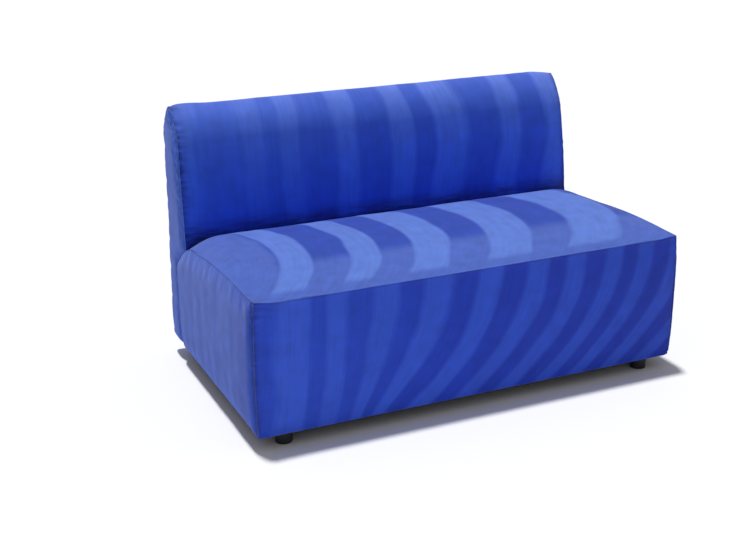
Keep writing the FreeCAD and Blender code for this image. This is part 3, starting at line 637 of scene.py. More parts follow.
@dataclass
class UpholsteredBox:
    """A padded box of sewn panels: a side outline carried from one side seam to the other.

    Lengths are in millimetres.

    Attributes:
        name: the piece's name.
        side_bulge: how far the side panels stand out of their seams.
        bulge_edge: the distance from the seam within which they rise to that.
        crown_edge: the share of the half width at which the crown starts to fall to the seam.
        station_ease: how much closer together the stations stand near the sides.
        stations: number of mesh cells across the box.
        rise_cells: number of cells up the front and down the rear.
        run_cells: number of cells over the top and along the base.
        swell: the most that the simulation may move the cloth.
        seam_depth: how deep a seam sinks.
        seam_width: how wide the valley at a seam is.
        unevenness: height of the padding's soft lumps.
        lumps: size of the large and of the small lumps.
        small_lumps: the small lumps' share of the height.
        calm: the distance from a seam within which the lumps fade out.
        fabric: the cloth that is sewn.
        gathers: stretches of seam with gathered cloth.
        ears: corners that are pushed out.
        seams: vertex indices along each sewn seam.
        still: indices of the vertices of hidden panels, which the swelling leaves alone.
    """

    name: str
    side_bulge: float = 7.0
    bulge_edge: float = 26.0
    crown_edge: float = 0.86
    station_ease: float = 0.6
    stations: int = 86
    rise_cells: int = 42
    run_cells: int = 66
    swell: float = 3.0
    seam_depth: float = 1.0
    seam_width: float = 4.0
    unevenness: float = 1.3
    lumps: Pair = (90.0, 33.0)
    small_lumps: float = 0.35
    calm: float = 12.0
    fabric: SewnCloth = SewnCloth()
    gathers: tuple[Gather, ...] = ()
    ears: tuple[Ear, ...] = ()
    seams: list[list[int]] = field(default_factory=list)
    still: set[int] = field(default_factory=set)

    def sides(self, crown: float) -> list[np.ndarray]:
        """The front, top, rear and base of the outline at one share of the crown."""
        raise NotImplementedError

    def half_width(self, height: np.ndarray, side: float) -> np.ndarray:
        """Half the width out to the side seam at each height, in millimetres."""
        raise NotImplementedError

    def nap(self, panel: Panel, p: np.ndarray) -> tuple[Pair, Pair]:
        """The stroke coordinate and the fading of the nap at one point of a panel."""
        raise NotImplementedError

    def painted_shade(self, panel: Panel, p: np.ndarray) -> float:
        """How dark the painted shade is at one point of a panel, from 0 to 1."""
        raise NotImplementedError

    def sewn_corners(self) -> tuple[int, ...]:
        """Which corners of the outline carry a seam from side to side."""
        raise NotImplementedError

    def crown_share(self, s: float) -> float:
        """How much of the crown stands at a station, from 0 at the seam to 1."""
        out = max(abs(s) - self.crown_edge, 0) / (1 - self.crown_edge)
        return 1 - out**2

    def build(self) -> bpy.types.Object:
        """Sews the box, lets it swell and finishes its seams.

        Returns:
            The finished object.
        """
        obj = self.sew()
        self.inflate(obj)
        divide = obj.modifiers.new("divide", "SUBSURF")
        divide.levels = 1
        divide.render_levels = 1
        apply_modifier(obj, divide.name)
        self.shape_seams(obj)
        for polygon in obj.data.polygons:
            polygon.use_smooth = True
        return obj

    def sew(self) -> bpy.types.Object:
        """Makes the closed quad mesh with its panels and its nap maps, and notes its seams.

        Returns:
            The new object.
        """
        t = np.linspace(-1, 1, self.stations + 1)
        s = (1 - self.station_ease) * t + self.station_ease * np.sin(math.pi / 2 * t)
        cells = [self.rise_cells, self.run_cells, self.rise_cells, self.run_cells]
        ring = sum(cells)
        points = []
        for station in s:
            crown = self.crown_share(station)
            loop = np.vstack([spaced(p, n)[:-1] for p, n in zip(self.sides(crown), cells)])
            x = station * self.half_width(loop[:, 1], station)
            points.append(np.column_stack([x, loop]))
        verts = [p for row in points for p in row]
        faces = []
        kinds = []
        owner = np.repeat([0, 1, 2, 3], cells)
        for i in range(self.stations):
            for j in range(ring):
                k = (j + 1) % ring
                faces.append((i * ring + j, i * ring + k, (i + 1) * ring + k, (i + 1) * ring + j))
                kinds.append(int(owner[j]))
        for end, kind in ((0, Panel.LEFT), (self.stations, Panel.RIGHT)):
            side = -1 if end == 0 else 1
            grid = self.cap(np.array(points[end]), end * ring, len(verts), side, verts)
            rows, columns = grid.shape
            for i in range(rows - 1):
                for j in range(columns - 1):
                    quad = (grid[i, j], grid[i, j + 1], grid[i + 1, j + 1], grid[i + 1, j])
                    faces.append(quad if side > 0 else quad[::-1])
                    kinds.append(kind.value)
        last = self.stations * ring
        self.seams = [[first + j % ring for j in range(ring + 1)] for first in (0, last)]
        starts = np.concatenate([[0], np.cumsum(cells)])
        for corner in self.sewn_corners():
            self.seams.append([i * ring + int(starts[corner]) for i in range(self.stations + 1)])
        hidden = {Panel.REAR.value, Panel.BASE.value} if self.rear_hidden() else {Panel.BASE.value}
        self.still = {v for f, k in zip(faces, kinds) if k in hidden for v in f}
        mesh = bpy.data.meshes.new(self.name)
        mesh.from_pydata([tuple(MM * np.asarray(v)) for v in verts], [], [tuple(map(int, f)) for f in faces])
        mesh.polygons.foreach_set("material_index", kinds)
        self.map_cloth(mesh, verts, kinds)
        obj = bpy.data.objects.new(self.name, mesh)
        bpy.context.collection.objects.link(obj)
        return obj

    def rear_hidden(self) -> bool:
        """Whether the rear panel stands against another box."""
        return False

    def map_cloth(self, mesh: bpy.types.Mesh, verts: list, kinds: list) -> None:
        """Writes what the cloth's finish reads: its nap, the nap's fading and its painted shade.

        Args:
            mesh: the new mesh.
            verts: its vertices in millimetres.
            kinds: the panel number of each face.
        """
        names = ("nap", "fade", "painted_shade")
        for name in names:
            mesh.uv_layers.new(name=name)
        data = [np.zeros((len(mesh.loops), 2)) for _ in names]
        cache = {}
        for polygon in mesh.polygons:
            panel = Panel(kinds[polygon.index])
            for loop in polygon.loop_indices:
                index = mesh.loops[loop].vertex_index
                key = (index, panel)
                if key not in cache:
                    p = verts[index]
                    cache[key] = (*self.nap(panel, p), (self.painted_shade(panel, p), 0.0))
                for k in range(len(names)):
                    data[k][loop] = cache[key][k]
        for name, values in zip(names, data):
            mesh.uv_layers[name].uv.foreach_set("vector", values.astype(np.float32).ravel())

    def inflate(self, obj: bpy.types.Object) -> None:
        """Swells the box as sewn cloth over soft filling and keeps a small capped part of it.

        Args:
            obj: the sewn box, whose vertices move.
        """
        fabric = self.fabric
        start = positions(obj.data)
        pins = obj.vertex_groups.new(name="sewn")
        held = set(self.still)
        for seam in self.seams:
            held |= set(seam)
        pins.add(sorted(int(v) for v in held), 1.0, "REPLACE")
        cloth = obj.modifiers.new("swell", "CLOTH")
        settings = cloth.settings
        settings.quality = fabric.quality
        settings.mass = fabric.mass
        settings.tension_stiffness = fabric.tension
        settings.compression_stiffness = fabric.compression
        settings.shear_stiffness = fabric.shear
        settings.bending_stiffness = fabric.bending
        settings.vertex_group_mass = pins.name
        settings.use_pressure = True
        settings.uniform_pressure_force = fabric.pressure
        settings.shrink_min = fabric.shrink
        settings.effector_weights.gravity = 0
        cloth.collision_settings.use_collision = False
        scene = bpy.context.scene
        cloth.point_cache.frame_start = 1
        cloth.point_cache.frame_end = fabric.frames
        for step in range(1, fabric.frames + 1):
            scene.frame_set(step)
        swollen = obj.evaluated_get(bpy.context.evaluated_depsgraph_get())
        moved = positions(swollen.data) - start
        obj.modifiers.remove(cloth)
        scene.frame_set(1)
        far = np.linalg.norm(moved, axis=1)
        LOG.info("%s swells: mean %.1f mm, most %.1f mm", obj.name, far.mean() / MM, far.max() / MM)
        cap = self.swell * MM
        scale = np.where(far > 1e-9, cap * np.tanh(far / cap) / np.maximum(far, 1e-9), 0)
        place(obj.data, start + moved * scale[:, None])

    def seam_tree(self, points: np.ndarray) -> kdtree.KDTree:
        """Makes the search tree that finds how far off the nearest seam is.

        Args:
            points: all vertex places in metres.

        Returns:
            A tree over the seams' vertices and two points between each two of them.
        """
        close = []
        for seam in self.seams:
            line = points[seam]
            for a, b in zip(line[:-1], line[1:]):
                close += [a, (2 * a + b) / 3, (a + 2 * b) / 3]
        tree = kdtree.KDTree(len(close))
        for i, p in enumerate(close):
            tree.insert(p, i)
        tree.balance()
        return tree

    def shape_seams(self, obj: bpy.types.Object) -> None:
        """Sinks the seams, raises gathers beside them, rounds corners and unsettles the padding.

        Args:
            obj: the divided box, whose vertices move.
        """
        apart = Vector((3.1, 7.7, 1.3))
        large, small = self.lumps
        mesh = obj.data
        points = positions(mesh)
        facing = normals(mesh)
        tree = self.seam_tree(points)
        new = points.copy()
        for i, p in enumerate(points):
            mm = p / MM
            distance = tree.find(p)[2] / MM
            lift = -self.seam_depth * math.exp(-((distance / self.seam_width) ** 2))
            near = 1 - math.exp(-distance / self.calm)
            lift += self.unevenness * near * noise.noise(Vector(mm / large) + apart)
            lift += self.small_lumps * self.unevenness * near * noise.noise(Vector(mm / small))
            for gather in self.gathers:
                away = np.linalg.norm(mm - gather.centre)
                if away > 2 * gather.reach or distance > 3 * gather.length:
                    continue
                strength = math.exp(-((away / gather.reach) ** 2)) * math.exp(-distance / gather.length)
                # The stitches hold the ridges down at the seam itself.
                strength *= 1 - math.exp(-distance / 3)
                # Ridges are drawn out across the sofa, four times as long as they are wide.
                across, back, up = mm / gather.spacing
                lift += gather.height * strength * noise.noise(Vector((0.25 * across, back, up)))
            new[i] = p + facing[i] * lift * MM
        for ear in self.ears:
            away = np.linalg.norm(points / MM - np.array(ear.corner), axis=1)
            share = np.exp(-((away / ear.reach) ** 2))
            new += share[:, None] * np.array(ear.push) * MM
        place(mesh, self.settle(new))

    def settle(self, points: np.ndarray) -> np.ndarray:
        """Last small moves of one box, in metres."""
        return points

    def cap(self, rim: np.ndarray, first: int, free: int, side: int, verts: list) -> np.ndarray:
        """Fills one side of the box with a bulging patch.

        Args:
            rim: the side seam's points.
            first: index of the rim's first vertex.
            free: index that the next new vertex gets.
            side: -1 for the left side, 1 for the right.
            verts: the list that new vertices are added to.

        Returns:
            The vertex indices of the patch's grid, rows up and columns back.
        """
        n, m = self.rise_cells, self.run_cells
        grid = np.zeros((n + 1, m + 1), int)
        index = np.arange(len(rim)) + first
        front, top = index[: n + 1], index[n : n + m + 1]
        rear = index[n + m : 2 * n + m + 1][::-1]
        base = np.append(index[2 * n + m :], index[0])[::-1]
        grid[:, 0], grid[:, -1], grid[-1, :], grid[0, :] = front, rear, top, base
        at = {int(k): rim[i] for i, k in enumerate(index)}
        low, high, near, far = (np.array([at[int(k)] for k in line]) for line in (base, top, front, rear))
        tree = kdtree.KDTree(len(rim))
        for i, p in enumerate(rim):
            tree.insert((0, p[1], p[2]), i)
        tree.balance()
        for i in range(1, n):
            v = i / n
            for j in range(1, m):
                u = j / m
                p = (1 - v) * low[j] + v * high[j] + (1 - u) * near[i] + u * far[i]
                p = p - (1 - u) * (1 - v) * low[0] - u * (1 - v) * low[-1]
                p = p - (1 - u) * v * high[0] - u * v * high[-1]
                inset = tree.find((0, p[1], p[2]))[2]
                share = 1 - max(1 - inset / self.bulge_edge, 0) ** 2
                half = float(self.half_width(np.array([p[2]]), side)[0])
                verts.append(np.array([side * (half + self.side_bulge * share), p[1], p[2]]))
                grid[i, j] = free
                free += 1
        return grid


def round_corner(
    points: np.ndarray, axes: tuple[int, int], corner: Pair, outwards: tuple[int, int], radius: float
) -> np.ndarray:
    """Rounds an outer edge: what lies in the corner's square moves to the quarter circle in it.

    Args:
        points: places in metres.
        axes: the two axes across the edge.
        corner: the corner on those axes, in millimetres.
        outwards: the sign of the way out of the piece on each of them.
        radius: the rounding's radius in millimetres.

    Returns:
        The moved points.
    """
    a, b = axes
    out = points.copy()
    u = (points[:, a] / MM - corner[0]) * outwards[0] + radius
    v = (points[:, b] / MM - corner[1]) * outwards[1] + radius
    inside = (u > 0) & (v > 0)
    largest = np.maximum(np.maximum(u, v), 1e-6)
    scale = np.where(inside, largest / np.maximum(np.hypot(u, v), 1e-6), 1)
    out[:, a] = np.where(inside, ((u * scale - radius) * outwards[0] + corner[0]) * MM, points[:, a])
    out[:, b] = np.where(inside, ((v * scale - radius) * outwards[1] + corner[1]) * MM, points[:, b])
    return out


def recess_base(
    points: np.ndarray, level: float, ends: Pair, half: float, edge: float = 5.0, rise: float = 2.2
) -> np.ndarray:
    """Lifts the underside's middle clear of the dust cover, and leaves its folded edge.

    Args:
        points: places in metres, which are changed too.
        level: height of the underside in millimetres.
        ends: where the underside starts and ends from front to back.
        half: half its width.
        edge: width of the folded edge that stays down.
        rise: how far the middle is lifted.

    Returns:
        The moved points.
    """
    mm = points / MM
    inset = np.minimum.reduce([half - np.abs(mm[:, 0]), mm[:, 1] - ends[0], ends[1] - mm[:, 1]])
    # The padding's lumps leave the underside within this many millimetres of its level.
    reach = 3.5
    inner = (np.abs(mm[:, 2] - level) < reach) & (inset > edge)
    points[inner, 2] = (level + rise) * MM
    return points


@dataclass
class SeatCushion(UpholsteredBox):
    """The seat: boxed front, crowned top that rolls down behind the back's lower edge.

    Attributes:
        half: half the width between the side seams.
        front: place of the front's seams from front to back.
        rear: place of the flat rear.
        low: height of the underside.
        seam: height of the seam along the front's top.
        crest: the top's highest place at the side seams.
        crest_rise: how much higher it stands in the middle.
        roll_start: where the top starts to roll down to the rear.
        roll_rise: how much higher that stands in the middle.
        roll_foot: height of the roll's foot.
        roll: how far the roll bows out.
        crown: how much further it bows in the middle.
        front_bulge: how far the front stands out of its seams.
        corner_bow: how far the front corners bow out at mid height.
        seam_inset: how far inside the bow the seams lie.
        stroke_edges: edges of the strokes on the top, along its front.
        stroke_bow: radius of the strokes' bow.
        stroke_vertex: where from front to back the bow turns.
        stroke_end: where from front to back the bow stops.
        dark_fade: where the dark strokes fade out towards the front.
        light_fade: where the light strokes fade out.
        first_fade: stroke numbers at which the strokes fade out on the left.
        last_fade: stroke numbers at which they fade out on the right.
        front_edges: edges of the strokes on the front, along its top.
        slant_top: the height that the front's strokes slant from.
        slant_places: places along the top for which the slants are given.
        slants: slant of a stroke at each, in millimetres per squared millimetre down.
        front_calm: how faded the front's strokes are on the right.
        left_calm: how much more faded they are on the left.
        calm_span: where that changes along the top.
        left_line: the painted shade at the left front corner, on the front.
        right_line: the painted shade at the right front corner.
        top_line: the painted shade under the seam along the front's top.
        edge_line: the painted shade behind that seam, on the top.
        side_line: the painted shade behind the front corners, on the sides.
        ear_corner: the left front ear's place across.
        ear_line: the painted shade round that ear, on the front and the sides.
        ear_top_line: the painted shade round it, on the top.
        crease: how dark the painted shade in the crease under the back is.
        top_crease: where that painted shade rises on the top.
        side_crease: where it rises on the sides.
        darkest: the most dark that the painted shade adds up to.
        corner_out: how far outside the side seams the rounded corners stand.
        front_out: how far in front of the front's seams they stand.
        foot_radii: rounding of the lower left and of the lower right corner.
        corner_radius: rounding of the front corners.
    """

    name: str = "seat_cushion"
    half: float = 660.0
    front: float = -389.0
    rear: float = 294.0
    low: float = 39.0
    seam: float = 416.0
    crest: Pair = (-139.0, 423.0)
    crest_rise: float = 21.0
    roll_start: Pair = (91.0, 406.0)
    roll_rise: float = 35.0
    roll_foot: float = 315.0
    roll: float = 27.0
    crown: float = 14.0
    front_bulge: float = 6.0
    corner_bow: float = 7.0
    seam_inset: float = 1.0
    stroke_edges: tuple[float, ...] = (-493, -397, -279, -197, -87, 27, 152, 290, 426, 598)
    stroke_bow: float = 450.0
    stroke_vertex: float = -50.0
    stroke_end: float = 300.0
    dark_fade: Pair = (-150.0, -215.0)
    light_fade: Pair = (-325.0, -352.0)
    first_fade: Pair = (-0.02, -0.06)
    last_fade: Pair = (9.4, 9.6)
    front_edges: tuple[float, ...] = (
        *(-700, -600, -505, -455, -399, -320, -242, -175, -86, 0, 73),
        *(150, 222, 285, 350, 415, 470, 525, 580, 640, 700),
    )
    slant_top: float = 410.0
    slant_places: tuple[float, ...] = (-550, -399, -242, -86)
    slants: tuple[float, ...] = (2e-4, 3e-4, 1e-3, 1.7e-3)
    front_calm: float = 0.3
    left_calm: float = 0.28
    calm_span: Pair = (-420.0, 60.0)
    left_line: DarkLine = DarkLine(0.5, 9.0)
    right_line: DarkLine = DarkLine(0.3, 8.0)
    top_line: DarkLine = DarkLine(0.35, 7.0)
    edge_line: DarkLine = DarkLine(0.3, 6.0)
    side_line: DarkLine = DarkLine(0.45, 10.0)
    ear_corner: float = -650.0
    ear_line: DarkLine = DarkLine(0.5, 26.0)
    ear_top_line: DarkLine = DarkLine(0.45, 26.0)
    crease: float = 0.8
    top_crease: Pair = (196.0, 236.0)
    side_crease: Pair = (262.0, 292.0)
    darkest: float = 0.9
    corner_out: float = 4.0
    front_out: float = 2.0
    foot_radii: Pair = (9.0, 22.0)
    corner_radius: float = 9.0
    gathers: tuple[Gather, ...] = (
        Gather((-655.0, -389.0, 410.0), 55.0, 6.0, 11.0, 24.0),
        Gather((655.0, -389.0, 410.0), 45.0, 2.0, 10.0),
        Gather((-660.0, -100.0, 425.0), 300.0, 1.2, 13.0, 14.0),
        Gather((640.0, -389.0, 60.0), 90.0, 1.4, 14.0, 20.0),
    )
    ears: tuple[Ear, ...] = (
        Ear((-655.0, -385.0, 416.0), 38.0, (-2.0, -1.0, 8.0)),
        Ear((655.0, -385.0, 416.0), 40.0, (-3.0, 0.0, 4.0)),
    )

    def half_width(self, height: np.ndarray, side: float) -> np.ndarray:
        """The side seams stand straight up, bowed a little at mid height."""
        share = np.clip((np.asarray(height, float) - self.low) / (self.seam - self.low), 0, 1)
        return self.half + self.corner_bow * (1 - np.abs(2 * share - 1) ** 3) - self.seam_inset

    def painted_shade(self, panel: Panel, p: np.ndarray) -> float:
        """Painted shade lies in lines at the front corners, most at the left one.

        Args:
            panel: the panel.
            p: a point on it, in millimetres.

        Returns:
            How dark the painted shade is, from 0 to 1.
        """
        x, y, z = p
        ear = math.dist((x, y, z), (self.ear_corner, self.front, self.seam))
        if panel is Panel.FRONT:
            dark = self.left_line.at(self.half + x) + self.right_line.at(self.half - x)
            dark += self.ear_line.at(ear)
            dark += self.top_line.at(self.seam - z)
        elif panel is Panel.TOP:
            dark = self.edge_line.at(y - self.front) + self.ear_top_line.at(ear)
            dark += self.crease * smooth(y, *self.top_crease)
        elif panel in (Panel.LEFT, Panel.RIGHT):
            dark = self.side_line.at(y - self.front) + self.ear_line.at(ear)
            dark += self.crease * smooth(y, *self.side_crease)
        else:
            dark = 0.0
        return min(dark, self.darkest)

    def sewn_corners(self) -> tuple[int, ...]:
        """Seams run along the front's top and foot."""
        return (0, 1)

    def rear_hidden(self) -> bool:
        """The seat's rear stands against the back."""
        return True

    def nap(self, panel: Panel, p: np.ndarray) -> tuple[Pair, Pair]:
        """Strokes bow across the seat and slant down its front.

        Args:
            panel: the panel.
            p: a point on it, in millimetres.

        Returns:
            The stroke number with the place along it in metres, and how faded the dark and the
            light strokes are.
        """
        x, y, z = p
        if panel is Panel.TOP:
            back = min(y, self.stroke_end) - self.stroke_vertex
            bow = self.stroke_bow - math.sqrt(self.stroke_bow**2 - back**2)
            u = along_edges(x + bow, self.stroke_edges)
            ends = max(smooth(u, *self.first_fade), smooth(u, *self.last_fade))
            dark = max(smooth(y, *self.dark_fade), ends)
            light = max(smooth(y, *self.light_fade), ends)
            return (u, y * MM), (dark, light)
        if panel is Panel.FRONT:
            down = (self.slant_top - z) ** 2
            # The slant belongs to the stroke's place along the top, which is found in three steps.
            at = x
            for _ in range(3):
                at = x + float(np.interp(at, self.slant_places, self.slants)) * down
            u = along_edges(at, self.front_edges) + 1
            calm = self.front_calm + self.left_calm * (1 - smooth(at, *self.calm_span))
            return (u, z * MM), (calm, calm)
        if panel in (Panel.LEFT, Panel.RIGHT):
            return (y / 38, z * MM), (0.5, 0.5)
        return (x / 90, y * MM), (0.6, 0.6)

    def sides(self, crown: float) -> list[np.ndarray]:
        """Draws the outline at one share of the crown.

        Args:
            crown: the share, from 0 at the side seams to 1.

        Returns:
            The front, top, rear and base, each a row of points in millimetres.
        """
        front_top = (self.front, self.seam)
        crest = (self.crest[0], self.crest[1] + self.crest_rise * crown)
        start = (self.roll_start[0], self.roll_start[1] + self.roll_rise * crown)
        foot = (self.rear, self.roll_foot)
        top = np.vstack(
            [arc_past(front_top, crest, start), arc(start, foot, self.roll + self.crown * crown)[1:]]
        )
        return [
            arc((self.front, self.low), front_top, self.front_bulge * crown),
            top,
            arc(foot, (self.rear, self.low), 0),
            arc((self.rear, self.low), (self.front, self.low), 0),
        ]

    def settle(self, points: np.ndarray) -> np.ndarray:
        """Draws the lower corners in, where the cloth is pulled under and stapled.

        Args:
            points: the vertices' places in metres.

        Returns:
            Their last places.
        """
        points = recess_base(points, self.low, (self.front, self.rear), self.half)
        for side, radius in zip((-1, 1), self.foot_radii):
            x = side * (self.half + self.corner_out)
            front = self.front - self.front_out
            points = round_corner(points, (0, 2), (x, self.low), (side, -1), radius)
            points = round_corner(points, (0, 1), (x, front), (side, -1), self.corner_radius)
        return points


@dataclass
class BackCushion(UpholsteredBox):
    """The back: its lower edge nests on the seat's roll, its cloth runs over the top.

    Attributes:
        low: height of the underside.
        height: height that the side seams' lean is measured to.
        half_low: half the width at the underside.
        half_high: half the width at the top.
        foot: place of the front of the underside from front to back.
        nest: place of the face's lower edge on the seat's roll.
        face_top: the face's upper end at the side seams.
        top: the top's highest place at the side seams.
        rear: the seam along the top of the rear panel.
        hem: size of the slanted edge under the rear panel.
        hem_in: how much of the slant the recess of the underside takes in.
        crown: how much higher the top stands in the middle.
        face_swell: how much further the face stands out in the middle.
        face_bow: how far the face bows out of that in the middle.
        front_sagitta: how far the cloth bows between face and top.
        rear_sagitta: how far it bows between top and rear.
        gap: space between the seat's roll and the back.
        stroke_edges: edges of the strokes on the face, at mid height.
        stroke_bow: how far the strokes bow to the right.
        bow_span: where across the face the bow sets in.
        bow_height: mid height and half height of the bow.
        bow_rise: the heights between which the bow grows.
        face_calm: how faded the face's strokes are on the right.
        left_calm: how much more faded they are on the left.
        calm_span: where that changes.
        crease: how dark the painted shade in the crease above the seat is.
        crease_span: the heights between which that painted shade grows, downwards.
        left_line: the painted shade at the left seam of the face.
        left_dark: its share all along the seam, and its added share where the seam is gathered.
        left_gathers: mid height and half height of those gathers.
        right_line: the painted shade at the right seam of the face.
        side_line: the painted shade along the side panels' front.
        side_place: its place from front to back.
        darkest: the most dark that the painted shade adds up to.
        corner_out: how far outside the side seams the rounded corners stand.
        foot_radius: rounding of the lower corners.
        leans: how the right side leans out or in: by how much, at what height and within what
            distance from it.
        lean_power: how fast the lean fades towards the middle.
    """

    name: str = "back_cushion"
    bulge_edge: float = 16.0
    stations: int = 84
    rise_cells: int = 88
    run_cells: int = 26
    low: float = 39.0
    height: float = 795.0
    half_low: float = 662.0
    half_high: float = 653.0
    foot: float = 294.9
    nest: float = 225.4
    face_top: Pair = (258.4, 674.0)
    top: Pair = (331.0, 778.5)
    rear: Pair = (395.0, 705.0)
    hem: float = 36.0
    hem_in: float = 6.0
    crown: float = 19.0
    face_swell: float = 8.0
    face_bow: float = 3.0
    front_sagitta: float = 15.0
    rear_sagitta: float = 5.0
    gap: float = 0.9
    stroke_edges: tuple[float, ...] = (
        *(-700, -600, -455, -390, -340, -280, -160, -95),
        *(10, 85, 150, 255, 395, 465, 560, 640),
    )
    stroke_bow: float = 34.0
    bow_span: Pair = (-300.0, 250.0)
    bow_height: Pair = (600.0, 190.0)
    bow_rise: Pair = (410.0, 640.0)
    face_calm: float = 0.35
    left_calm: float = 0.4
    calm_span: Pair = (0.0, -500.0)
    crease: float = 0.85
    crease_span: Pair = (470.0, 418.0)
    left_line: DarkLine = DarkLine(1.0, 17.0)
    left_dark: Pair = (0.45, 0.5)
    left_gathers: Pair = (620.0, 130.0)
    right_line: DarkLine = DarkLine(0.4, 10.0)
    side_line: DarkLine = DarkLine(0.25, 14.0)
    side_place: float = 250.0
    darkest: float = 0.92
    corner_out: float = 5.0
    foot_radius: float = 34.0
    leans: tuple[tuple[float, float, float], ...] = ((4.0, 480.0, 110.0), (-6.0, 720.0, 60.0))
    lean_power: int = 6
    gathers: tuple[Gather, ...] = (
        Gather((-655.0, 250.0, 620.0), 130.0, 7.0, 11.0, 18.0),
        Gather((-652.0, 300.0, 760.0), 50.0, 6.0, 11.0, 18.0),
        Gather((652.0, 250.0, 560.0), 160.0, 1.6, 9.0, 16.0),
        Gather((-655.0, 395.0, 500.0), 260.0, 1.0, 10.0, 16.0),
        Gather((655.0, 395.0, 500.0), 260.0, 1.6, 10.0, 16.0),
    )
    ears: tuple[Ear, ...] = (
        Ear((-650.0, 325.0, 780.0), 62.0, (-3.0, -2.0, 15.0)),
        Ear((652.0, 325.0, 778.0), 40.0, (0.0, 0.0, 5.0)),
    )

    def half_width(self, height: np.ndarray, side: float) -> np.ndarray:
        """The side seams lean in a little towards the top."""
        share = (np.asarray(height, float) - self.low) / (self.height - self.low)
        return self.half_low + share * (self.half_high - self.half_low)

    def painted_shade(self, panel: Panel, p: np.ndarray) -> float:
        """Painted shade lies along the left front seam, most where it is gathered, and in the crease above
        the seat.

        Args:
            panel: the panel.
            p: a point on it, in millimetres.

        Returns:
            How dark the painted shade is, from 0 to 1.
        """
        x, y, z = p
        half = float(self.half_width(np.array([z]), 0)[0])
        if panel in (Panel.FRONT, Panel.TOP):
            crease = self.crease * smooth(z, *self.crease_span)
            middle, reach = self.left_gathers
            plain, gathered = self.left_dark
            edge = plain + gathered * math.exp(-(((z - middle) / reach) ** 2))
            edge *= self.left_line.at(half + x)
            return min(max(crease, edge, self.right_line.at(half - x)), self.darkest)
        if panel in (Panel.LEFT, Panel.RIGHT):
            return self.side_line.at(abs(y - self.side_place))
        return 0.0

    def sewn_corners(self) -> tuple[int, ...]:
        """One seam runs along the top of the rear panel."""
        return (2,)

    def nap(self, panel: Panel, p: np.ndarray) -> tuple[Pair, Pair]:
        """Strokes hang down the face, bowed a little to the right.

        Args:
            panel: the panel.
            p: a point on it, in millimetres.

        Returns:
            The stroke number with the place along it in metres, and how faded the dark and the
            light strokes are.
        """
        x, y, z = p
        if panel in (Panel.FRONT, Panel.TOP):
            middle, reach = self.bow_height
            bow = self.stroke_bow * smooth(x, *self.bow_span) * (1 - ((z - middle) / reach) ** 2)
            u = along_edges(x - bow * smooth(z, *self.bow_rise), self.stroke_edges)
            calm = self.face_calm + self.left_calm * smooth(x, *self.calm_span)
            return (u, z * MM), (calm, calm)
        if panel in (Panel.LEFT, Panel.RIGHT):
            return (y / 40, z * MM), (0.6, 0.6)
        return (x / 110, z * MM), (0.5, 0.5)

    def sides(self, crown: float) -> list[np.ndarray]:
        """Draws the outline at one share of the crown, set on the seat's roll.

        Args:
            crown: the share, from 0 at the side seams to 1.

        Returns:
            The front, top, rear and base, each a row of points in millimetres.
        """
        seat = SeatCushion()
        start = np.array([seat.roll_start[0], seat.roll_start[1] + seat.roll_rise * crown])
        foot = np.array([seat.rear, seat.roll_foot])
        sagitta = seat.roll + seat.crown * crown
        chord = foot - start
        length = np.linalg.norm(chord)
        left = np.array([-chord[1], chord[0]]) / length
        radius = (length**2 / 4 + sagitta**2) / (2 * sagitta)
        centre = (start + foot) / 2 + left * (sagitta - radius)
        reach = radius + self.gap

        def on_nest(y: float) -> Pair:
            """The point of the nest at a place from front to back."""
            return (y, centre[1] + math.sqrt(reach**2 - (y - centre[0]) ** 2))

        nest_high = on_nest(self.nest - self.face_swell * crown)
        nest_low = on_nest(self.foot)
        angle = [math.atan2(p[1] - centre[1], p[0] - centre[0]) for p in (nest_low, nest_high)]
        turn = np.linspace(angle[0], angle[1], 40)
        nest = centre + reach * np.column_stack([np.cos(turn), np.sin(turn)])
        face_top = (self.face_top[0] - self.face_swell * crown, self.face_top[1])
        top = (self.top[0], self.top[1] + self.crown * crown)
        rear_low = (self.rear[0], self.low + self.hem)
        hem_foot = (self.rear[0] - self.hem, self.low)
        flat = self.hem * (1 - math.sqrt(0.5))
        face = arc(nest_high, face_top, self.face_bow * crown)
        front = [arc((self.foot, self.low), nest_low, 0), nest[1:], face[1:]]
        over = [
            arc(face_top, top, self.front_sagitta + self.crown * crown / 3),
            arc(top, self.rear, self.rear_sagitta + self.crown * crown / 2)[1:],
        ]
        under = [arc(rear_low, hem_foot, flat), arc(hem_foot, (self.foot, self.low), 0)[1:]]
        return [np.vstack(front), np.vstack(over), arc(self.rear, rear_low, 0), np.vstack(under)]

    def settle(self, points: np.ndarray) -> np.ndarray:
        """Draws the lower corners in and leans the right side as the photograph shows it.

        Args:
            points: the vertices' places in metres.

        Returns:
            Their last places.
        """
        ends = (self.foot, self.rear[0] - self.hem + self.hem_in)
        points = recess_base(points, self.low, ends, self.half_low)
        for side in (-1, 1):
            corner = (side * (self.half_low + self.corner_out), self.low)
            points = round_corner(points, (0, 2), corner, (side, -1), self.foot_radius)
        z = points[:, 2] / MM
        right = np.clip(points[:, 0] / MM / self.half_low, 0, 1) ** self.lean_power
        lean = sum(move * np.exp(-(((z - at) / reach) ** 2)) for move, at, reach in self.leans)
        points[:, 0] += right * lean * MM
        return points


def along_edges(at: float, edges: tuple[float, ...]) -> float:
    """Numbers a place by the stroke edges before it, going on evenly past both ends.

    Args:
        at: the place in millimetres.
        edges: the strokes' edges, in order.

    Returns:
        The running number, whole at each edge.
    """
    if at < edges[0]:
        return (at - edges[0]) / (edges[1] - edges[0])
    if at > edges[-1]:
        return len(edges) - 1 + (at - edges[-1]) / (edges[-1] - edges[-2])
    return float(np.interp(at, edges, range(len(edges))))


def fresh(name: str) -> bpy.types.Object:
    """Names the primitive that was just added.

    Args:
        name: its name.

    Returns:
        The object, still active.
    """
    obj = bpy.context.object
    obj.name = name
    obj.data.name = name
    return obj


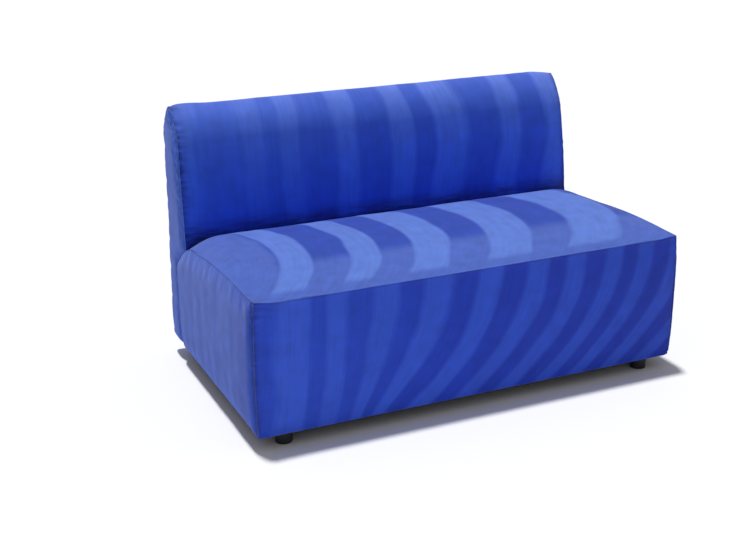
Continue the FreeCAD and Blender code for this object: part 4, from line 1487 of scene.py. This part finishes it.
def bake_place(obj: bpy.types.Object) -> None:
    """Moves an object's place and turn into its mesh."""
    obj.data.transform(obj.matrix_world)
    obj.matrix_world = Matrix.Identity(4)


@dataclass
class FootSet:
    """Four moulded feet: a straight stub with a rounded foot, a collar and a glide under it.

    Lengths are in millimetres.

    Attributes:
        radius: the stub's radius.
        height: its height.
        edge: rounding of its lower edge.
        collar: how much wider the collar is than the stub.
        collar_drop: how far under the top it starts.
        collar_height: its height.
        glide: radius of the glide under the foot.
        groove: width and depth of the groove round the glide.
        glide_edge: width of the glide's slanted edge.
        across: how far out of the middle the feet stand.
        front: place of the front feet from front to back.
        rear: place of the rear feet.
    """

    radius: float = 24.0
    height: float = 39.0
    edge: float = 2.5
    collar: float = 1.6
    collar_drop: float = 6.0
    collar_height: float = 1.2
    glide: float = 17.0
    groove: Pair = (0.6, 0.8)
    glide_edge: float = 2.0
    across: float = 576.0
    front: float = -350.0
    rear: float = 330.9

    def foot(self, name: str, x: float, y: float) -> bpy.types.Object:
        """Models one foot standing at a place.

        Args:
            name: the piece's name.
            x: its middle across, in millimetres.
            y: its middle from front to back.

        Returns:
            The foot.
        """
        bpy.ops.object.select_all(action="DESELECT")
        bpy.ops.mesh.primitive_cylinder_add(
            vertices=64,
            radius=self.radius * MM,
            depth=self.height * MM,
            location=(x * MM, y * MM, self.height / 2 * MM),
        )
        obj = fresh(name)
        bpy.ops.object.mode_set(mode="EDIT")
        bpy.ops.mesh.select_all(action="DESELECT")
        bpy.ops.mesh.select_mode(type="FACE")
        bpy.ops.object.mode_set(mode="OBJECT")
        for face in obj.data.polygons:
            face.select = abs(face.normal.z) > 0.9 and face.center.z < 0
        bpy.ops.object.mode_set(mode="EDIT")
        bpy.ops.mesh.bevel(offset=self.edge * MM, segments=4, affect="EDGES")
        bpy.ops.object.mode_set(mode="OBJECT")
        for face in obj.data.polygons:
            face.select = face.normal.z < -0.99 and face.area > (self.glide * MM) ** 2
        bpy.ops.object.mode_set(mode="EDIT")
        bpy.ops.mesh.inset(thickness=(self.radius - self.edge - self.glide) * MM)
        width, depth = self.groove
        bpy.ops.mesh.inset(thickness=width * MM, depth=-depth * MM)
        bpy.ops.mesh.inset(thickness=self.glide_edge * MM, depth=depth * MM)
        for drop in (self.collar_drop, self.collar_drop + self.collar_height):
            cut = (x * MM, y * MM, (self.height - drop) * MM)
            bpy.ops.mesh.select_all(action="SELECT")
            bpy.ops.mesh.bisect(plane_co=cut, plane_no=(0, 0, 1), use_fill=False)
        bpy.ops.object.mode_set(mode="OBJECT")
        middle = self.height - self.collar_drop - self.collar_height / 2
        for face in obj.data.polygons:
            level = face.center.z / MM + self.height / 2
            face.select = abs(level - middle) < 0.5 and abs(face.normal.z) < 0.5
        bpy.ops.object.mode_set(mode="EDIT")
        out = {"value": -self.collar / 2 * MM}
        bpy.ops.mesh.extrude_region_shrink_fatten(TRANSFORM_OT_shrink_fatten=out)
        bpy.ops.object.mode_set(mode="OBJECT")
        bake_place(obj)
        bpy.ops.object.shade_smooth_by_angle(angle=math.radians(35))
        return obj

    def build(self, finish: bpy.types.Material) -> None:
        """Stands the four feet under the sofa.

        Args:
            finish: their material.
        """
        places = {"front": self.front, "rear": self.rear}
        for row, y in places.items():
            pair = []
            for side, x in (("left", -self.across), ("right", self.across)):
                foot = self.foot(f"{row}_{side}_foot", x, y)
                foot.data.materials.append(finish)
                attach(foot, "root")
                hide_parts(f"{row}_feet")
                pair.append(foot)
            LOG.info("%s feet: %d pieces", row, len(pair))


@dataclass
class DustCover:
    """A thin cloth stapled under one box, sagging a little between its staples.

    Lengths are in millimetres.

    Attributes:
        name: the piece's name.
        node: the CAD node that it stands for.
        low: its front left corner.
        high: its rear right corner.
        level: height of its edge.
        thickness: its thickness, drawn thicker than real cambric so that it shows.
        sag: how far its middle sags at most.
        taut: width of the edge that stays flat.
        slack: how far from that the sag takes to grow.
        waves: size of its large and of its small waves.
        cell: size of its mesh cells.
        hem: distance of the staples from its edge.
        pitch: distance from staple to staple.
        staple: length, width and height of a staple's crown.
        staple_edge: bevel of its edges.
        staple_sink: how far its middle lies below the cloth's edge.
        staple_tilt: how far staples are turned at most, in degrees.
    """

    name: str
    node: str
    low: Pair
    high: Pair
    level: float = 39.2
    thickness: float = 0.6
    sag: float = 2.4
    taut: float = 8.0
    slack: float = 60.0
    waves: Pair = (140.0, 45.0)
    cell: float = 12.0
    hem: float = 7.0
    pitch: float = 55.0
    staple: tuple[float, float, float] = (10.0, 1.2, 0.8)
    staple_edge: float = 0.25
    staple_sink: float = 0.2
    staple_tilt: float = 6.0

    def build(self, cloth: bpy.types.Material, wire: bpy.types.Material) -> None:
        """Stretches the cloth, staples it and reports both.

        Args:
            cloth: the cloth's material.
            wire: the staples' material.
        """
        width = self.high[0] - self.low[0]
        depth = self.high[1] - self.low[1]
        columns = int(width / self.cell)
        rows = int(depth / self.cell)
        large, small = self.waves
        verts = []
        for i in range(rows + 1):
            for j in range(columns + 1):
                x = self.low[0] + width * j / columns
                y = self.low[1] + depth * i / rows
                edge = min(x - self.low[0], self.high[0] - x, y - self.low[1], self.high[1] - y)
                loose = 1 - math.exp(-max(edge - self.taut, 0) / self.slack)
                ripple = noise.noise(Vector((x / large, y / large, 2.0)))
                ripple += 0.4 * noise.noise(Vector((x / small, y / small, 5.0)))
                z = self.level - loose * self.sag * (0.6 + 0.5 * ripple)
                verts.append((x * MM, y * MM, z * MM))
        wide = columns + 1
        faces = [
            (i * wide + j, (i + 1) * wide + j, (i + 1) * wide + j + 1, i * wide + j + 1)
            for i in range(rows)
            for j in range(columns)
        ]
        mesh = bpy.data.meshes.new(self.name)
        mesh.from_pydata(verts, [], faces)
        obj = bpy.data.objects.new(self.name, mesh)
        bpy.context.collection.objects.link(obj)
        wall = obj.modifiers.new("wall", "SOLIDIFY")
        wall.thickness = self.thickness * MM
        wall.offset = -1
        apply_modifier(obj, wall.name)
        for polygon in obj.data.polygons:
            polygon.use_smooth = True
        obj.data.materials.append(cloth)
        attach(obj, "root")
        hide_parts(self.node)
        staples = self.staples()
        staples.data.materials.append(wire)
        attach(staples, "root")
        LOG.info("%s: %d faces, with its staples", obj.name, len(obj.data.polygons))

    def staples(self) -> bpy.types.Object:
        """Models one staple crown and copies it round the cloth's hem, joined into one piece.

        Returns:
            The staples.
        """
        bpy.ops.object.select_all(action="DESELECT")
        bpy.ops.mesh.primitive_cube_add(size=1, location=(0, 0, 0))
        first = fresh(self.name + "_staples")
        first.data.transform(Matrix.Diagonal((*(size * MM for size in self.staple), 1)))
        bpy.ops.object.mode_set(mode="EDIT")
        bpy.ops.mesh.select_all(action="SELECT")
        bpy.ops.mesh.bevel(offset=self.staple_edge * MM, segments=1, affect="EDGES")
        bpy.ops.object.mode_set(mode="OBJECT")
        left, front = (place + self.hem for place in self.low)
        right, rear = (place - self.hem for place in self.high)
        places = []
        for a, b, turn in (
            ((left, front), (right, front), 0),
            ((left, rear), (right, rear), 0),
            ((left, front), (left, rear), 90),
            ((right, front), (right, rear), 90),
        ):
            count = max(int(math.dist(a, b) / self.pitch), 2)
            for k in range(count):
                t = (k + 0.5) / count
                places.append((a[0] + t * (b[0] - a[0]), a[1] + t * (b[1] - a[1]), turn))
        source = first.data.copy()
        copies = []
        for k, (x, y, turn) in enumerate(places):
            tilt = turn + self.staple_tilt * noise.noise(Vector((k * 1.7, 0.5, 0.5)))
            stand = Matrix.Translation((x * MM, y * MM, (self.level - self.staple_sink) * MM))
            stand = stand @ Matrix.Rotation(math.radians(tilt), 4, "Z")
            copy = first if k == 0 else bpy.data.objects.new("staple", source.copy())
            if k:
                bpy.context.collection.objects.link(copy)
            copy.data.transform(stand)
            copies.append(copy)
        bpy.ops.object.select_all(action="DESELECT")
        for copy in copies:
            copy.select_set(True)
        bpy.context.view_layer.objects.active = first
        bpy.ops.object.join()
        return first


@dataclass(frozen=True)
class Studio:
    """Floor, lamp, world and the camera at the photograph's angle.

    Attributes:
        focal_pixels: the lens, in pixels of the photograph.
        width: width of the photograph in pixels.
        height: its height.
        centre: where the camera's axis meets it.
        yaw: the camera's turn to the right, in degrees as all angles here.
        pitch: its turn downwards.
        roll: its turn round its axis.
        eye: its place in metres.
        sensor: its sensor's width in millimetres.
        lamp_strength: light of the high lamp.
        lamp_softness: angle that the lamp is seen under.
        lamp_lean: how far it stands behind the sofa's middle.
        lamp_tilt: how far it stands to the side.
        sky: light from all round.
        floor_colour: the floor's colour, as sRGB hex digits.
        floor_side: side of the floor in metres.
    """

    focal_pixels: float = 1259.834
    width: float = 750.0
    height: float = 555.0
    centre: Pair = (388.56, 275.52)
    yaw: float = 24.85
    pitch: float = 19.81
    roll: float = -0.23
    eye: tuple[float, float, float] = (-1.5999, -3.2381, 1.5717)
    sensor: float = 36.0
    lamp_strength: float = 2.6
    lamp_softness: float = 4.5
    lamp_lean: float = 9.0
    lamp_tilt: float = -2.0
    sky: float = 0.27
    floor_colour: str = "FBFBFB"
    floor_side: float = 60.0

    def camera(self) -> None:
        """Puts the camera where the photograph was taken from."""
        yaw, pitch, roll = (math.radians(a) for a in (self.yaw, self.pitch, self.roll))
        look = Vector((math.sin(yaw) * math.cos(pitch), math.cos(yaw) * math.cos(pitch), -math.sin(pitch)))
        right = look.cross(Vector((0, 0, 1))).normalized()
        up = right.cross(look)
        level = math.cos(roll) * right + math.sin(roll) * up
        crown = -math.sin(roll) * right + math.cos(roll) * up
        data = bpy.data.cameras.new("camera")
        data.sensor_width = self.sensor
        data.lens = self.focal_pixels * self.sensor / self.width
        data.shift_x = (self.width / 2 - self.centre[0]) / self.width
        data.shift_y = (self.centre[1] - self.height / 2) / self.width
        data.clip_end = 100
        camera = bpy.data.objects.new("camera", data)
        turn = Matrix((level, crown, -look)).transposed().to_4x4()
        camera.matrix_world = Matrix.Translation(self.eye) @ turn
        bpy.context.collection.objects.link(camera)
        bpy.context.scene.camera = camera

    def floor(self) -> None:
        """Lays the plain white floor, which keeps the shadow."""
        bpy.ops.mesh.primitive_plane_add(size=self.floor_side, location=(0, 0, 0))
        floor = bpy.context.object
        floor.name = "studio_floor"
        material, _, shader = new_tree("matt_white_paint")
        shader.inputs["Base Color"].default_value = linear(self.floor_colour)
        shader.inputs["Roughness"].default_value = 0.9
        floor.data.materials.append(material)

    def lights(self) -> None:
        """Hangs one soft lamp high above, a little behind, and fills from all round."""
        sun = bpy.data.lights.new("high_lamp", "SUN")
        sun.energy = self.lamp_strength
        sun.angle = math.radians(self.lamp_softness)
        lamp = bpy.data.objects.new("high_lamp", sun)
        lamp.rotation_euler = (math.radians(-self.lamp_lean), math.radians(self.lamp_tilt), 0)
        bpy.context.collection.objects.link(lamp)
        world = bpy.data.worlds.new("studio")
        world.use_nodes = True
        tree = world.node_tree
        tree.nodes.clear()
        path = add(tree, "LightPath")
        bright = add(
            tree,
            "MapRange",
            {0: path.outputs["Is Camera Ray"], 1: 0.0, 2: 1.0, 3: self.sky, 4: 1.0},
        )
        back = add(tree, "Background", {0: (1, 1, 1, 1), 1: bright.outputs[0]})
        add(tree, "OutputWorld", {0: back.outputs[0]})
        bpy.context.scene.world = world
        bpy.context.scene.view_settings.view_transform = "Standard"


FINISHES = {
    "softwood": PlainFinish("sawn_pine", "D2B184", "B58C57", Surface.SAWN, 3.0, 0.3, 0.75),
    "hardboard": PlainFinish("pressed_hardboard", "86603D", "664527", Surface.PRESSED, 1.2, 0.15, 0.6),
    "spring_steel": PlainFinish("drawn_spring_steel", "77777A", "56565A", Surface.DRAWN, 0.8, 0.1, 0.38, 1.0),
    "zinc_steel": PlainFinish("zinc_plated_steel", "C3C6CA", "A4A8AE", Surface.DRAWN, 2.5, 0.05, 0.32, 1.0),
    "felt": PlainFinish("needled_felt", "828178", "5F5E57", Surface.FIBROUS, 2.0, 0.5, 0.9),
    "foam": PlainFinish("polyurethane_foam", "EDE3C1", "D6C998", Surface.PRESSED, 1.5, 0.4, 0.9),
    "batting": PlainFinish("polyester_batting", "F4F4F0", "DEDED8", Surface.FIBROUS, 4.0, 0.5, 0.9),
    "elastic_webbing": PlainFinish("elastic_webbing", "D8D1BC", "A79F86", Surface.WOVEN, 2.0, 0.5, 0.85),
    "black_cambric": PlainFinish("black_cambric", "212124", "131315", Surface.WOVEN, 2.2, 0.4, 0.9),
    "black_plastic": PlainFinish("black_polypropylene", "1A1A1C", "101012", Surface.MOULDED, 0.9, 0.12, 0.45),
}


def dress_nodes() -> dict[str, bpy.types.Material]:
    """Gives every CAD node the finish of its slot.

    Returns:
        The finishes by slot.
    """
    made = {slot: finish.material() for slot, finish in FINISHES.items()}
    # The CAD covers are out of sight, because the sewn cushions replace them.
    made["blue_microsuede"] = made["black_cambric"]
    for name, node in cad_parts.items():
        slots = [m.name.split(".")[0] for m in node.data.materials if m]
        for i, slot in enumerate(slots):
            if slot in made:
                node.data.materials[i] = made[slot]
            else:
                LOG.warning("%s has the unknown slot %s", name, slot)
    return made


def main() -> None:
    """Builds the sofa's looks in order and reports each piece."""
    logging.basicConfig(level=logging.INFO, format="%(name)s: %(message)s")
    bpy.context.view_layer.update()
    studio = Studio()
    studio.camera()
    studio.floor()
    studio.lights()
    finishes = dress_nodes()
    # The seat top: the nap's stroke colours, made whiter than the front's, which paints sheen into them.
    top = BrushedMicrosuede("microsuede_seat_top", "587AD3", "2144AF", "4663BE").material()
    # The seat front: the ramp across it darkens it towards the right, as painted shade.
    front = BrushedMicrosuede(
        "microsuede_seat_front",
        "4268E6",
        "1C3FC2",
        "2F54D4",
        edge=0.6,
        wander=0.5,
        fine=(9.0, 5.0),
        shade_axis="X",
        shade_span=(-0.66, 0.66),
        shade=((0.0, "FFFFFF"), (0.45, "CBDDF2"), (1.0, "A3BFDD")),
    ).material()
    # The back's face: its colours are whiter than the seat front's, which paints sheen on the top of the
    # back; the ramp up its height darkens it towards the seat as painted shade.
    face = BrushedMicrosuede(
        "microsuede_back_face",
        "6B89EE",
        "3D60D3",
        "5474DF",
        edge=0.45,
        wander=0.5,
        fine=(8.0, 4.0),
        shade_span=(0.43, 0.79),
        shade=((0.0, "6DAFFF"), (0.5, "98C8FF"), (0.86, "D4E7F6"), (1.0, "FFFFFF")),
    ).material()
    # The sides: the ramp along them darkens them towards the seat's front, as painted shade.
    side = BrushedMicrosuede(
        "microsuede_sides",
        "4266CD",
        "3558C0",
        "3B60C7",
        edge=0.9,
        wander=1.2,
        streak=0.14,
        fine=(6.0, 3.5),
        shade_axis="Y",
        shade_span=(-0.39, -0.2),
        shade=((0.0, "BDD0EF"), (1.0, "FFFFFF")),
        sheen=0.15,
    ).material()
    # One skin for each panel, in the order of Panel.
    seat_skins = [front, top, side, side, side, side]
    back_skins = [face, face, side, side, side, side]
    seat_nodes = ["seat_foam", "seat_batting", "seat_front_cover", "seat_top_cover"]
    seat_nodes += ["seat_left_cover", "seat_right_cover"]
    back_nodes = ["back_foam", "back_batting", "back_front_cover", "back_rear_cover"]
    back_nodes += ["back_left_cover", "back_right_cover"]
    for box, skins, nodes in (
        (SeatCushion(), seat_skins, seat_nodes),
        (BackCushion(), back_skins, back_nodes),
    ):
        obj = box.build()
        for skin in skins:
            obj.data.materials.append(skin)
        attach(obj, "root")
        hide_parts(*nodes)
        LOG.info("%s: %d faces", obj.name, len(obj.data.polygons))
    FootSet().build(finishes["black_plastic"])
    for cover in (
        DustCover("seat_underside_cloth", "seat_dust_cover", (-646.0, -377.0), (646.0, 286.0)),
        DustCover("back_underside_cloth", "back_dust_cover", (-638.0, 299.0), (638.0, 354.0)),
    ):
        cover.build(finishes["black_cambric"], finishes["zinc_steel"])


if __name__ == "__main__":
    main()
